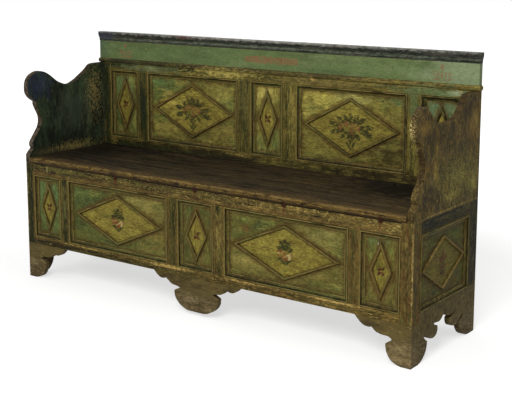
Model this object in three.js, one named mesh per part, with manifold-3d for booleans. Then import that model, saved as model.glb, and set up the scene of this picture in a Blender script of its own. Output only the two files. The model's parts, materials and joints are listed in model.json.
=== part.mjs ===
// Painted settle bench: a panelled chest with a lifting seat lid, two shaped plank arms,
// a panelled back under a frieze and a cornice, and scroll-cut bracket feet.
// Millimetres, +Z up. X runs along the bench and Y from its front face to its back.
import * as THREE from 'three';
import { mergeVertices } from 'three/addons/utils/BufferGeometryUtils.js';
import Module from 'manifold-3d';

const wasm = await Module();
wasm.setup();

// Overall size
const benchWidth = 1800;
const benchDepth = 472;

// Clearances and helper lengths for joining and cutting solids
const fit = 0.3;
const overrun = 5;
const embed = 1;

// Board thicknesses
const frontThickness = 22;
const sideThickness = 25;
const backThickness = 23;

// Heights of the chest, from the floor up
const footHeight = 145;
const bottomRailHeight = 32;
const boxPanelHeight = 261;
const topRailHeight = 47;

// Heights of the back, from the seat up
const lidThickness = 22;
const backRailShow = 32;
const backRailDrop = 31;
const backPanelHeight = 297;
const backTopRailHeight = 29;
const beadHeight = 19;
const friezeHeight = 75.5;
const corniceHeight = 38;

// Widths along the front, from the end to the middle
const postWidth = 45;
const postDepth = 50;
const frontNarrowWidth = 154;
const frontOuterMuntin = 43;
const frontInnerMuntin = 49;
const frontMiddleWidth = 170;

// Widths along the back, from the arm to the middle
const backStileWidth = 35;
const backNarrowWidth = 162;
const backOuterMuntin = 53;
const backInnerMuntin = 63;
const backMiddleWidth = 156;

// Depth of the side frame's rear stile
const sideStileWidth = 67;

// Panels: a board tongued into grooves, a mitred moulding and a lozenge moulding
const panelThickness = 8;
const panelSetback = 9;
const tongue = 6;
const mouldingWidth = 18;
const mouldingProud = 3;
const mouldingBead = 3;
const mouldingToe = 2;
const mouldingSteps = 5;
const lozengeWidth = 10;
const lozengeHeight = 6;
const lozengeSteps = 6;
const frontLozengeSideMargin = 34;
const frontLozengeEndMargin = 31;
const backLozengeSideMargin = 31;
const backLozengeEndMargin = 35;
const sideLozengeSideMargin = 19;
const sideLozengeEndMargin = 34;

// Seat: a lid on two iron hinges, and a fixed board behind it
const lidOverhang = 4;
const lidNose = 7;
const lidUnderNose = 3;
const lidNoseSteps = 4;
const lidEndGap = 2;
const lidRearGap = 1.5;
const rearBoardDepth = 50;
const lidCleatWidth = 40;
const lidCleatThickness = 18;
const lidCleatInset = 42;
const lidCleatPlace = 430;

// Hinges
const hingePlace = 560;
const hingeLength = 90;
const hingeLeafDepth = 32;
const hingeLeafThickness = 2.4;
const hingeRise = 1;
const knuckleRadius = 5;
const knuckleClearance = 0.5;
const pinRadius = 2.2;
const pinClearance = 0.08;

// Nails under the seat, one over each wide panel, one in the middle, one at the right end
const nailHeadRadius = 6.5;
const nailHeadHeight = 3.4;
const nailShankRadius = 2;
const nailShankLength = 18;
const nailDrop = 7;

// Inside of the chest
const cleatSize = 20;
const floorThickness = 16;
const lowerBackThickness = 20;
const ledgerHeight = 25;
const ledgerDepth = 25;

// Feet
const cornerBracketWidth = 215;
const centreBracketHalfWidth = 205;
const centreFootLift = 16;
const centreBlockWidth = 90;
const centreBlockDepth = 40;
const stumpLift = 2;

// Trim over the back
const beadProud = 6;
const corniceProud = 5;
const corniceLip = 1.5;
const corniceLipHeight = 4;
const corniceFilletHeight = 7;
const trimSteps = 12;

// Steps along each span of a curved outline, and around the round pieces
const stepsPerSpan = 5;
const knuckleSides = 20;
const nailSides = 10;

// Corner bracket outline: shares of its width and of the foot height, from the outer
// corner inwards. Each run is a smooth curve, and the runs meet at cusps.
const bracketFootShares = [[0.21, 0], [0.35, 0.1], [0.435, 0.29], [0.452, 0.47]];
const bracketLipShares = [[0.452, 0.47], [0.4, 0.52], [0.335, 0.58]];
const bracketLobeShares = [[0.335, 0.58], [0.395, 0.655], [0.5, 0.66], [0.61, 0.69], [0.695, 0.79]];
const bracketEndShares = [[0.695, 0.79], [0.79, 0.77], [0.9, 0.85], [1, 1]];

// Centre bracket outline: shares of its half width and of its height above the foot's
// sole, from the middle outwards.
const centreFootShares = [[0.22, 0], [0.35, 0.09], [0.45, 0.22], [0.507, 0.38], [0.512, 0.53]];
const centreLipShares = [[0.512, 0.53], [0.45, 0.575], [0.38, 0.63]];
const centreLobeShares = [[0.38, 0.63], [0.46, 0.665], [0.58, 0.69], [0.705, 0.84]];
const centreEndShares = [[0.705, 0.84], [0.82, 0.8], [0.92, 0.88], [1, 1]];

// Side apron outline: shares of half the bench depth and of the foot height, from the
// front corner to the middle. The rear half mirrors it.
const apronFootShares = [[0.245, 0], [0.385, 0.1], [0.465, 0.275], [0.49, 0.44]];
const apronLipShares = [[0.49, 0.44], [0.43, 0.5], [0.36, 0.61]];
const apronLobeShares = [
  [0.36, 0.61], [0.44, 0.575], [0.54, 0.48], [0.645, 0.43], [0.745, 0.455], [0.8, 0.565], [0.792, 0.68],
];
const apronHookShares = [[0.792, 0.68], [0.74, 0.71], [0.675, 0.77]];
const apronCuspShares = [[0.675, 0.77], [0.76, 0.765], [0.85, 0.75], [0.92, 0.8], [1, 0.91]];

// Arm outlines: shares of the bench depth and of the arm's height, from the front foot
// of the arm up over the bump, down into the dip and up to the back. The arms were cut
// by hand, and the left one has a longer bump and a sharper dip.
const armFootShares = [[0, 0], [0, 0.09]];
const armToeShares = [[0, 0.09], [0.021, 0.121], [0.051, 0.15]];
const armShankShares = [
  [0.051, 0.15], [0.036, 0.179], [0.038, 0.213], [0.07, 0.271], [0.114, 0.334], [0.144, 0.397],
  [0.15, 0.453], [0.138, 0.511], [0.112, 0.563], [0.095, 0.616],
];
const armNeckShares = [[0.095, 0.616], [0.091, 0.634], [0.095, 0.653]];
const rightArmTopShares = [
  [0.095, 0.653], [0.049, 0.679], [0.008, 0.735], [0, 0.803], [0.019, 0.889], [0.072, 0.953],
  [0.136, 0.971], [0.195, 0.924], [0.261, 0.85], [0.328, 0.803], [0.407, 0.789], [0.502, 0.787],
  [0.587, 0.803], [0.661, 0.85], [0.714, 0.911], [0.76, 0.979],
];
const leftArmTopShares = [
  [0.095, 0.653], [0.055, 0.682], [0.01, 0.735], [0, 0.803], [0.01, 0.885], [0.055, 0.947],
  [0.128, 0.98], [0.2, 0.968], [0.273, 0.92], [0.346, 0.855], [0.42, 0.815], [0.495, 0.799],
  [0.572, 0.828], [0.649, 0.88], [0.727, 0.94], [0.76, 0.979],
];
const armRearShares = [[0.76, 0.979], [0.79, 0.995], [0.84, 1]];

// Places worked out from the sizes above
const halfWidth = benchWidth / 2;
const railBase = footHeight;
const boxPanelBase = railBase + bottomRailHeight;
const boxPanelTop = boxPanelBase + boxPanelHeight;
const boxTop = boxPanelTop + topRailHeight;
const seatBase = boxTop + fit;
const seatTop = seatBase + lidThickness;
const backPanelBase = seatTop + backRailShow;
const backPanelTop = backPanelBase + backPanelHeight;
const backFrameTop = backPanelTop + backTopRailHeight;
const backFrameFace = benchDepth - backThickness;
const insideHalfWidth = halfWidth - sideThickness - fit;
const grooveDepth = tongue + fit;
const grooveFront = panelSetback - fit;
const grooveRear = panelSetback + panelThickness + fit;
const hingeLine = backFrameFace - fit - rearBoardDepth - lidRearGap / 2;
const hingeHeight = seatTop + hingeRise;

// Paint and wood colours
const paints = {
  greenFrame: { color: 0x55683a, roughness: 0.62, metalness: 0 },
  greenPanel: { color: 0x5c7040, roughness: 0.62, metalness: 0 },
  frieze: { color: 0x64804f, roughness: 0.65, metalness: 0 },
  slate: { color: 0x2f3a38, roughness: 0.6, metalness: 0 },
  arm: { color: 0x4c452c, roughness: 0.6, metalness: 0 },
  foot: { color: 0x5f5640, roughness: 0.7, metalness: 0 },
  seat: { color: 0x2b2620, roughness: 0.55, metalness: 0 },
  bareWood: { color: 0x8a6f4a, roughness: 0.8, metalness: 0 },
  iron: { color: 0x35302c, roughness: 0.7, metalness: 0.6 },
};

// Solids: a geometry becomes a manifold to be joined or cut, and back again
function toSolid(geometry) {
  const bare = new THREE.BufferGeometry();
  bare.setAttribute('position', geometry.getAttribute('position'));
  if (geometry.index) bare.setIndex(geometry.index);
  const merged = mergeVertices(bare);
  const corners = merged.index.array;
  const kept = [];
  for (let i = 0; i < corners.length; i += 3) {
    const [a, b, c] = corners.slice(i, i + 3);
    if (a !== b && b !== c && c !== a) kept.push(a, b, c);
  }
  return new wasm.Manifold(new wasm.Mesh({
    numProp: 3,
    vertProperties: new Float32Array(merged.getAttribute('position').array),
    triVerts: new Uint32Array(kept),
  }));
}

function fromSolid(solid) {
  const mesh = solid.getMesh();
  const geometry = new THREE.BufferGeometry();
  geometry.setAttribute('position', new THREE.BufferAttribute(new Float32Array(mesh.vertProperties), 3));
  geometry.setIndex(new THREE.BufferAttribute(new Uint32Array(mesh.triVerts), 1));
  return geometry;
}

function join(...geometries) {
  const solids = geometries.map(toSolid);
  return fromSolid(solids.reduce((sum, solid) => sum.add(solid)));
}

function cut(geometry, ...tools) {
  const solids = tools.map(toSolid);
  return fromSolid(solids.reduce((rest, solid) => rest.subtract(solid), toSolid(geometry)));
}

// A board given by its lowest and highest corners
function block(x0, x1, y0, y1, z0, z1) {
  const geometry = new THREE.BoxGeometry(x1 - x0, y1 - y0, z1 - z0);
  return geometry.translate((x0 + x1) / 2, (y0 + y1) / 2, (z0 + z1) / 2);
}

// A section drawn in X and Y, extruded upwards from z0 to z1
function upright(points, z0, z1) {
  const shape = new THREE.Shape(points.map(([x, y]) => new THREE.Vector2(x, y)));
  const geometry = new THREE.ExtrudeGeometry(shape, { depth: z1 - z0, bevelEnabled: false });
  return geometry.translate(0, 0, z0);
}

// An outline drawn in X and Z, extruded backwards from y0 to y1
function frontPlank(points, y0, y1) {
  return upright(points, -y1, -y0).rotateX(Math.PI / 2);
}

// An outline drawn in Y and Z, extruded sideways from x0 to x1
function sidePlank(points, x0, x1) {
  const turn = new THREE.Matrix4().makeBasis(
    new THREE.Vector3(0, 1, 0),
    new THREE.Vector3(0, 0, 1),
    new THREE.Vector3(1, 0, 0),
  );
  return upright(points, x0, x1).applyMatrix4(turn);
}

// A round bar along X
function bar(radius, x0, x1, y, z) {
  const geometry = new THREE.CylinderGeometry(radius, radius, x1 - x0, knuckleSides);
  return geometry.rotateZ(Math.PI / 2).translate((x0 + x1) / 2, y, z);
}

// The same piece on the other side of the bench
function mirrored(geometry) {
  const flipped = geometry.index ? geometry.toNonIndexed() : geometry.clone();
  flipped.scale(-1, 1, 1);
  const position = flipped.getAttribute('position');
  for (let i = 0; i < position.count; i += 3) {
    const first = new THREE.Vector3().fromBufferAttribute(position, i);
    const last = new THREE.Vector3().fromBufferAttribute(position, i + 2);
    position.setXYZ(i, last.x, last.y, last.z);
    position.setXYZ(i + 2, first.x, first.y, first.z);
  }
  return flipped;
}

// Outlines: each run of share points is one smooth curve, and runs meet at cusps
function outlineThrough(runs, width, height) {
  const points = [];
  for (const run of runs) {
    const curve = new THREE.SplineCurve(run.map(([a, b]) => new THREE.Vector2(a * width, b * height)));
    const sampled = curve.getPoints((run.length - 1) * stepsPerSpan);
    points.push(...sampled.slice(points.length ? 1 : 0));
  }
  return points.map((point) => [point.x, point.y]);
}

// A symmetric outline from its right half, which starts on the sole and ends at the top
function bothHalves(half, middle) {
  return [...half, ...half.map(([a, b]) => [2 * middle - a, b]).reverse()];
}

// The section of a board with a panel groove in its low edge, its high edge or both
function grooveSection(width, thickness, low, high) {
  const highGroove = [
    [width, grooveFront], [width - grooveDepth, grooveFront],
    [width - grooveDepth, grooveRear], [width, grooveRear],
  ];
  const lowGroove = [
    [0, grooveRear], [grooveDepth, grooveRear], [grooveDepth, grooveFront], [0, grooveFront],
  ];
  return [
    [0, 0], [width, 0], ...(high ? highGroove : []),
    [width, thickness], [0, thickness], ...(low ? lowGroove : []),
  ];
}

// A rail along X between two uprights, with a stub tenon in the groove at each end
function rail(x0, x1, face, thickness, z0, z1, low, high) {
  const section = grooveSection(z1 - z0, thickness, low, high).map(([w, t]) => [face + t, z0 + w]);
  const tenonLow = z0 + (low ? grooveDepth : 0) + fit;
  const tenonHigh = z1 - (high ? grooveDepth : 0) - fit;
  const tenonFace = face + panelSetback;
  return join(
    sidePlank(section, x0 + fit, x1 - fit),
    block(x0 - tongue, x1 + tongue, tenonFace, tenonFace + panelThickness, tenonLow, tenonHigh),
  );
}

// A muntin between two rails, grooved on both edges, with a stub tenon at each end
function muntin(x0, x1, face, thickness, z0, z1) {
  const section = grooveSection(x1 - x0, thickness, true, true).map(([w, t]) => [x0 + w, face + t]);
  const tenonInset = grooveDepth + fit;
  const tenonFace = face + panelSetback;
  return join(
    upright(section, z0 + fit, z1 - fit),
    block(
      x0 + tenonInset, x1 - tenonInset, tenonFace, tenonFace + panelThickness,
      z0 - tongue, z1 + tongue,
    ),
  );
}

// A moulding swept round a convex polygon in X and Z with mitred corners. The profile is
// given as inward distance from the polygon and height out of the panel's face.
function mitredRing(corners, profile) {
  const count = corners.length;
  const positions = [];
  corners.forEach((corner, i) => {
    const before = corners[(i + count - 1) % count];
    const after = corners[(i + 1) % count];
    const edgeIn = new THREE.Vector2(corner[0] - before[0], corner[1] - before[1]).normalize();
    const edgeOut = new THREE.Vector2(after[0] - corner[0], after[1] - corner[1]).normalize();
    const normalIn = new THREE.Vector2(-edgeIn.y, edgeIn.x);
    const normalOut = new THREE.Vector2(-edgeOut.y, edgeOut.x);
    const mitre = normalIn.clone().add(normalOut).divideScalar(1 + normalIn.dot(normalOut));
    for (const [inward, height] of profile) {
      positions.push(corner[0] + mitre.x * inward, panelSetback - height, corner[1] + mitre.y * inward);
    }
  });
  const size = profile.length;
  const faces = [];
  for (let i = 0; i < count; i += 1) {
    const next = (i + 1) % count;
    for (let j = 0; j < size; j += 1) {
      const above = (j + 1) % size;
      const a = i * size + j;
      const b = next * size + j;
      const c = next * size + above;
      const d = i * size + above;
      faces.push(a, b, c, a, c, d);
    }
  }
  const geometry = new THREE.BufferGeometry();
  geometry.setAttribute('position', new THREE.Float32BufferAttribute(positions, 3));
  geometry.setIndex(faces);
  return geometry;
}

// The panel moulding: a bead along the frame, then an ogee down to a thin toe
function mouldingProfile() {
  const top = panelSetback + mouldingProud - mouldingBead;
  const points = [[0, -embed]];
  for (let k = 0; k <= mouldingSteps; k += 1) {
    const angle = (Math.PI * k) / mouldingSteps;
    points.push([mouldingBead * (1 - Math.cos(angle)), top + mouldingBead * Math.sin(angle)]);
  }
  const ogeeStart = 2 * mouldingBead;
  const ogeeTop = top - mouldingBead / 2;
  for (let k = 0; k <= mouldingSteps; k += 1) {
    const share = k / mouldingSteps;
    const drop = (1 + Math.cos(Math.PI * share)) / 2;
    points.push([
      ogeeStart + share * (mouldingWidth - ogeeStart),
      mouldingToe + drop * (ogeeTop - mouldingToe),
    ]);
  }
  points.push([mouldingWidth, -embed]);
  return points;
}

// The lozenge moulding: a half-round strip
function lozengeProfile() {
  const points = [[0, -embed]];
  for (let k = 0; k <= lozengeSteps; k += 1) {
    const angle = (Math.PI * k) / lozengeSteps;
    points.push([
      (lozengeWidth * (1 - Math.cos(angle))) / 2,
      mouldingToe / 2 + lozengeHeight * Math.sin(angle),
    ]);
  }
  points.push([lozengeWidth, -embed]);
  return points;
}

// A panel about the middle of its opening, with the frame's face at Y = 0
function panel(width, height, sideMargin, endMargin) {
  const halfX = width / 2;
  const halfZ = height / 2;
  const board = block(
    -halfX - tongue, halfX + tongue, panelSetback, panelSetback + panelThickness,
    -halfZ - tongue, halfZ + tongue,
  );
  const ringX = halfX - fit;
  const ringZ = halfZ - fit;
  const frame = [[-ringX, -ringZ], [ringX, -ringZ], [ringX, ringZ], [-ringX, ringZ]];
  const tipX = halfX - sideMargin;
  const tipZ = halfZ - endMargin;
  const lozenge = [[-tipX, 0], [0, -tipZ], [tipX, 0], [0, tipZ]];
  return join(board, mitredRing(frame, mouldingProfile()), mitredRing(lozenge, lozengeProfile()));
}

// Trim with mitred returns: one rectangle per level, flush with the back of the bench
function trim(levels) {
  const positions = [];
  for (const [z, proud] of levels) {
    const x = halfWidth + proud;
    const y = backFrameFace - proud;
    positions.push(-x, y, z, x, y, z, x, benchDepth, z, -x, benchDepth, z);
  }
  const faces = [2, 1, 0, 3, 2, 0];
  for (let level = 0; level + 1 < levels.length; level += 1) {
    for (let side = 0; side < 4; side += 1) {
      const next = (side + 1) % 4;
      const a = level * 4 + side;
      const b = level * 4 + next;
      faces.push(a, b, b + 4, a, b + 4, a + 4);
    }
  }
  const last = (levels.length - 1) * 4;
  faces.push(last, last + 1, last + 2, last, last + 2, last + 3);
  const geometry = new THREE.BufferGeometry();
  geometry.setAttribute('position', new THREE.Float32BufferAttribute(positions, 3));
  geometry.setIndex(faces);
  return geometry;
}

// The bench, and how a piece is put into it
const bench = new THREE.Group();
bench.position.y = -(benchDepth - lidOverhang) / 2;

function place(name, geometry, finish, x = 0, y = 0, z = 0, turn = 0) {
  const bare = geometry.index ? geometry.toNonIndexed() : geometry;
  bare.computeVertexNormals();
  const mesh = new THREE.Mesh(bare, new THREE.MeshStandardMaterial(finish));
  mesh.name = name;
  mesh.position.set(x, y, z);
  mesh.rotation.z = turn;
  bench.add(mesh);
}

function placePair(name, rightGeometry, finish) {
  place(`right_${name}`, rightGeometry, finish);
  place(`left_${name}`, mirrored(rightGeometry), finish);
}

// Openings from left to right between two stiles, with the muntins between them
function openingsBetween(start, widths, muntins) {
  let x = start;
  return widths.map((width, i) => {
    const opening = { x0: x, x1: x + width, muntinEnd: x + width + (muntins[i] ?? 0) };
    x = opening.muntinEnd;
    return opening;
  });
}

function placePanelRow(prefix, openings, face, thickness, z0, z1, margins) {
  openings.forEach((opening, i) => {
    const width = opening.x1 - opening.x0;
    const middle = (opening.x0 + opening.x1) / 2;
    const solid = panel(width, z1 - z0, ...margins);
    place(`${prefix}_panel_${i + 1}`, solid, paints.greenPanel, middle, face, (z0 + z1) / 2);
    if (opening.muntinEnd > opening.x1) {
      const upStand = muntin(opening.x1, opening.muntinEnd, face, thickness, z0, z1);
      place(`${prefix}_muntin_${i + 1}`, upStand, paints.greenFrame);
    }
  });
}

// Front of the chest
const postInside = halfWidth - postWidth;
const frontWideWidth = postInside - frontNarrowWidth - frontOuterMuntin - frontInnerMuntin
  - frontMiddleWidth / 2;
const frontOpenings = openingsBetween(
  -postInside,
  [frontNarrowWidth, frontWideWidth, frontMiddleWidth, frontWideWidth, frontNarrowWidth],
  [frontOuterMuntin, frontInnerMuntin, frontInnerMuntin, frontOuterMuntin],
);
const nailedOpenings = frontOpenings.slice(1);
const nailHeight = boxTop - nailDrop;

function cornerPost() {
  const section = [
    [postInside, 0], [halfWidth, 0], [halfWidth, postDepth],
    [halfWidth - grooveFront, postDepth], [halfWidth - grooveFront, postDepth - grooveDepth],
    [halfWidth - grooveRear, postDepth - grooveDepth], [halfWidth - grooveRear, postDepth],
    [postInside, postDepth],
    [postInside, grooveRear], [postInside + grooveDepth, grooveRear],
    [postInside + grooveDepth, grooveFront], [postInside, grooveFront],
  ];
  const stump = block(
    postInside + fit, insideHalfWidth, frontThickness + fit, postDepth - fit,
    stumpLift, footHeight + embed,
  );
  return join(upright(section, footHeight, boxTop), stump);
}

function nailBore(x) {
  const geometry = new THREE.CylinderGeometry(
    nailShankRadius + fit, nailShankRadius + fit, nailShankLength + fit + overrun, nailSides,
  );
  return geometry.translate(x, (nailShankLength + fit - overrun) / 2, nailHeight);
}

function nail() {
  const profile = [];
  const domeSteps = 3;
  for (let k = 0; k <= domeSteps; k += 1) {
    const angle = (Math.PI * k) / (2 * domeSteps);
    profile.push([nailHeadRadius * Math.sin(angle), -fit - nailHeadHeight * Math.cos(angle)]);
  }
  profile.push([nailShankRadius, -fit], [nailShankRadius, nailShankLength / 2], [0, nailShankLength]);
  const points = profile.map(([radius, along]) => new THREE.Vector2(radius, along));
  return fromSolid(toSolid(new THREE.LatheGeometry(points, nailSides)));
}

function placeFront() {
  placePair('front_post', cornerPost(), paints.greenFrame);
  const bores = nailedOpenings.map(({ x0, x1 }) => nailBore((x0 + x1) / 2));
  const topRail = rail(-postInside, postInside, 0, frontThickness, boxPanelTop, boxTop, true, false);
  place('front_top_rail', cut(topRail, ...bores), paints.greenFrame);
  const bottomRail = rail(-postInside, postInside, 0, frontThickness, railBase, boxPanelBase, false, true);
  place('front_bottom_rail', bottomRail, paints.greenFrame);
  placePanelRow(
    'front', frontOpenings, 0, frontThickness, boxPanelBase, boxPanelTop,
    [frontLozengeSideMargin, frontLozengeEndMargin],
  );
  nailedOpenings.forEach(({ x0, x1 }, i) => {
    place(`front_nail_${i + 1}`, nail(), paints.iron, (x0 + x1) / 2, 0, nailHeight);
  });
}

// Scroll-cut feet under the front
function placeFrontFeet() {
  const bracketTop = footHeight - fit;
  const cornerRuns = [bracketFootShares, bracketLipShares, bracketLobeShares, bracketEndShares];
  const inwards = outlineThrough(cornerRuns, cornerBracketWidth, bracketTop);
  const corner = [[0, 0], ...inwards, [0, bracketTop]].map(([a, z]) => [halfWidth - a, z]);
  placePair('front_bracket', frontPlank(corner, 0, frontThickness), paints.foot);

  const centreRuns = [centreFootShares, centreLipShares, centreLobeShares, centreEndShares];
  const half = outlineThrough(centreRuns, centreBracketHalfWidth, bracketTop - centreFootLift);
  const centre = bothHalves(half, 0).map(([x, z]) => [x, z + centreFootLift]);
  place('centre_front_bracket', frontPlank(centre, 0, frontThickness), paints.foot);
  const blockFace = frontThickness + fit;
  place('centre_foot_block', block(
    -centreBlockWidth / 2, centreBlockWidth / 2, blockFace, blockFace + centreBlockDepth,
    centreFootLift, bracketTop,
  ), paints.bareWood);
}

// Side frames: top rail, rear stile, panel, and an apron cut into two feet
const sideOpeningEnd = benchDepth - sideStileWidth;

function sideApron() {
  const bracketTop = footHeight - fit;
  const runs = [
    apronFootShares, apronLipShares, apronLobeShares, apronHookShares, apronCuspShares,
  ];
  const middle = benchDepth / 2;
  const front = frontThickness + fit;
  const behindPost = postDepth + fit;
  const lower = bothHalves(outlineThrough(runs, middle, bracketTop), middle);
  const outline = [
    [front, 0], ...lower, [benchDepth, 0], [benchDepth, boxPanelBase],
    [behindPost, boxPanelBase], [behindPost, bracketTop], [front, bracketTop],
  ];
  const groove = block(
    halfWidth - grooveRear, halfWidth - grooveFront,
    postDepth, sideOpeningEnd + grooveDepth, boxPanelBase - grooveDepth, boxPanelBase + overrun,
  );
  return cut(sidePlank(outline, halfWidth - sideThickness, halfWidth), groove);
}

function sideRearStile() {
  const section = grooveSection(sideStileWidth, sideThickness, true, false)
    .map(([w, t]) => [halfWidth - t, sideOpeningEnd + w]);
  return upright(section, boxPanelBase + fit, boxTop);
}

function sideTopRail() {
  const section = grooveSection(topRailHeight, sideThickness, true, false)
    .map(([w, t]) => [halfWidth - t, boxPanelTop + w]);
  const tenonFace = halfWidth - panelSetback;
  return join(
    frontPlank(section, postDepth + fit, sideOpeningEnd - fit),
    block(
      tenonFace - panelThickness, tenonFace, postDepth - tongue, sideOpeningEnd + tongue,
      boxPanelTop + grooveDepth + fit, boxTop - fit,
    ),
  );
}

function placeSides() {
  placePair('side_apron', sideApron(), paints.foot);
  placePair('side_rear_stile', sideRearStile(), paints.greenFrame);
  placePair('side_top_rail', sideTopRail(), paints.greenFrame);
  const width = sideOpeningEnd - postDepth;
  const middleY = (sideOpeningEnd + postDepth) / 2;
  const middleZ = (boxPanelBase + boxPanelTop) / 2;
  for (const [name, side] of [['right', 1], ['left', -1]]) {
    const solid = panel(width, boxPanelHeight, sideLozengeSideMargin, sideLozengeEndMargin);
    const turn = (side * Math.PI) / 2;
    place(`${name}_side_panel`, solid, paints.greenPanel, side * halfWidth, middleY, middleZ, turn);
  }
}

// Arms: one shaped plank on each side frame
function placeArms() {
  const armHeight = backFrameTop - seatBase;
  const plankThrough = (topShares) => {
    const runs = [armFootShares, armToeShares, armShankShares, armNeckShares, topShares, armRearShares];
    const edge = outlineThrough(runs, benchDepth, armHeight);
    const outline = [...edge, [benchDepth, armHeight], [benchDepth, 0]].map(([y, z]) => [y, z + seatBase]);
    return sidePlank(outline, halfWidth - sideThickness, halfWidth);
  };
  place('right_arm', plankThrough(rightArmTopShares), paints.arm);
  place('left_arm', mirrored(plankThrough(leftArmTopShares)), paints.arm);
}

// Back: stiles down to the floor, rails, muntins and panels, then the trim on top
function placeBack() {
  const stileInside = insideHalfWidth - backStileWidth;
  const section = grooveSection(backStileWidth, backThickness, true, false)
    .map(([w, t]) => [stileInside + w, backFrameFace + t]);
  placePair('back_stile', upright(section, stumpLift, backFrameTop), paints.greenFrame);

  const topRail = rail(
    -stileInside, stileInside, backFrameFace, backThickness, backPanelTop, backFrameTop, true, false,
  );
  place('back_top_rail', topRail, paints.greenFrame);
  const lowerEdge = boxTop - backRailDrop;
  const bottomRail = rail(
    -stileInside, stileInside, backFrameFace, backThickness, lowerEdge, backPanelBase, true, true,
  );
  place('back_bottom_rail', bottomRail, paints.greenFrame);

  const wide = stileInside - backNarrowWidth - backOuterMuntin - backInnerMuntin - backMiddleWidth / 2;
  const openings = openingsBetween(
    -stileInside,
    [backNarrowWidth, wide, backMiddleWidth, wide, backNarrowWidth],
    [backOuterMuntin, backInnerMuntin, backInnerMuntin, backOuterMuntin],
  );
  placePanelRow(
    'back', openings, backFrameFace, backThickness, backPanelBase, backPanelTop,
    [backLozengeSideMargin, backLozengeEndMargin],
  );

  const tongueFace = backFrameFace + panelSetback;
  const lowerBoard = join(
    block(
      -stileInside + fit, stileInside - fit, backFrameFace, backFrameFace + lowerBackThickness,
      railBase, lowerEdge - fit,
    ),
    block(
      -stileInside - tongue, stileInside + tongue, tongueFace, tongueFace + panelThickness,
      railBase + embed, lowerEdge + tongue,
    ),
  );
  place('lower_back_board', lowerBoard, paints.bareWood);
}

function placeTrim() {
  const beadBase = backFrameTop + fit;
  const beadLevels = [];
  for (let k = 0; k <= trimSteps; k += 1) {
    const angle = (Math.PI * k) / trimSteps;
    beadLevels.push([beadBase + (beadHeight * (1 - Math.cos(angle))) / 2, beadProud * Math.sin(angle)]);
  }
  place('back_bead_rail', trim(beadLevels), paints.greenFrame);

  const friezeBase = beadBase + beadHeight + fit;
  const friezeTop = friezeBase + friezeHeight;
  place('back_frieze', block(
    -halfWidth, halfWidth, backFrameFace, benchDepth, friezeBase, friezeTop,
  ), paints.frieze);

  const corniceBase = friezeTop + fit;
  const cymaBase = corniceBase + corniceLipHeight;
  const cymaHeight = corniceHeight - corniceLipHeight - corniceFilletHeight;
  const corniceLevels = [[corniceBase, corniceLip]];
  for (let k = 0; k <= trimSteps; k += 1) {
    const share = k / trimSteps;
    const swell = share - Math.sin(2 * Math.PI * share) / (2 * Math.PI);
    corniceLevels.push([cymaBase + share * cymaHeight, corniceLip + swell * (corniceProud - corniceLip)]);
  }
  corniceLevels.push([corniceBase + corniceHeight, corniceProud]);
  place('back_cornice', trim(corniceLevels), paints.slate);
}

// Inside of the chest: the floor on two cleats, and the ledger under the fixed seat board
function placeInside() {
  const front = frontThickness + fit;
  const rear = backFrameFace - fit;
  const floorBase = railBase + cleatSize + fit;
  const notchX = postInside - fit;
  const notchY = postDepth + fit;
  place('floor_cleat_front', block(
    -notchX, notchX, front, front + cleatSize, railBase, railBase + cleatSize,
  ), paints.bareWood);
  place('floor_cleat_rear', block(
    -insideHalfWidth, insideHalfWidth, rear - cleatSize, rear, railBase, railBase + cleatSize,
  ), paints.bareWood);
  const outline = [
    [-notchX, front], [notchX, front], [notchX, notchY], [insideHalfWidth, notchY],
    [insideHalfWidth, rear], [-insideHalfWidth, rear], [-insideHalfWidth, notchY], [-notchX, notchY],
  ];
  place('floor_board', upright(outline, floorBase, floorBase + floorThickness), paints.bareWood);
  place('seat_ledger', block(
    -insideHalfWidth, insideHalfWidth, rear - ledgerDepth, rear, boxTop - ledgerHeight, boxTop,
  ), paints.bareWood);
}

// Seat: the lid with its two cleats, and the fixed board that carries the hinges
const seatHalfWidth = halfWidth - sideThickness - lidEndGap;
const lidRear = hingeLine - lidRearGap / 2;

function roundedCorner(centreY, centreZ, radius, startTurn) {
  const points = [];
  for (let k = 0; k <= lidNoseSteps; k += 1) {
    const angle = (startTurn + k / lidNoseSteps) * (Math.PI / 2);
    points.push([centreY + radius * Math.cos(angle), centreZ + radius * Math.sin(angle)]);
  }
  return points;
}

function hingePocket(x, depthSide) {
  const farEdge = hingeLine + depthSide * (hingeLeafDepth + fit);
  const nearEdge = hingeLine - depthSide * overrun;
  const endX = hingeLength / 2 + fit;
  return [
    block(
      x - endX, x + endX, Math.min(farEdge, nearEdge), Math.max(farEdge, nearEdge),
      seatTop - hingeLeafThickness - fit, seatTop + overrun,
    ),
    bar(knuckleRadius + knuckleClearance, x - endX, x + endX, hingeLine, hingeHeight),
  ];
}

function placeSeat() {
  const noseFront = -lidOverhang;
  const section = [
    [lidRear, seatBase], [lidRear, seatTop],
    ...roundedCorner(noseFront + lidNose, seatTop - lidNose, lidNose, 1),
    ...roundedCorner(noseFront + lidUnderNose, seatBase + lidUnderNose, lidUnderNose, 2),
  ];
  const pocketsIn = (depthSide) => [-hingePlace, hingePlace].flatMap((x) => hingePocket(x, depthSide));
  place('seat_lid', cut(sidePlank(section, -seatHalfWidth, seatHalfWidth), ...pocketsIn(-1)), paints.seat);
  const rearBoard = block(
    -seatHalfWidth, seatHalfWidth, hingeLine + lidRearGap / 2, backFrameFace - fit, seatBase, seatTop,
  );
  place('rear_seat_board', cut(rearBoard, ...pocketsIn(1)), paints.seat);
  placePair('lid_cleat', block(
    lidCleatPlace - lidCleatWidth / 2, lidCleatPlace + lidCleatWidth / 2,
    lidCleatInset, lidRear - lidCleatInset, seatBase - fit - lidCleatThickness, seatBase - fit,
  ), paints.bareWood);
}

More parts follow.
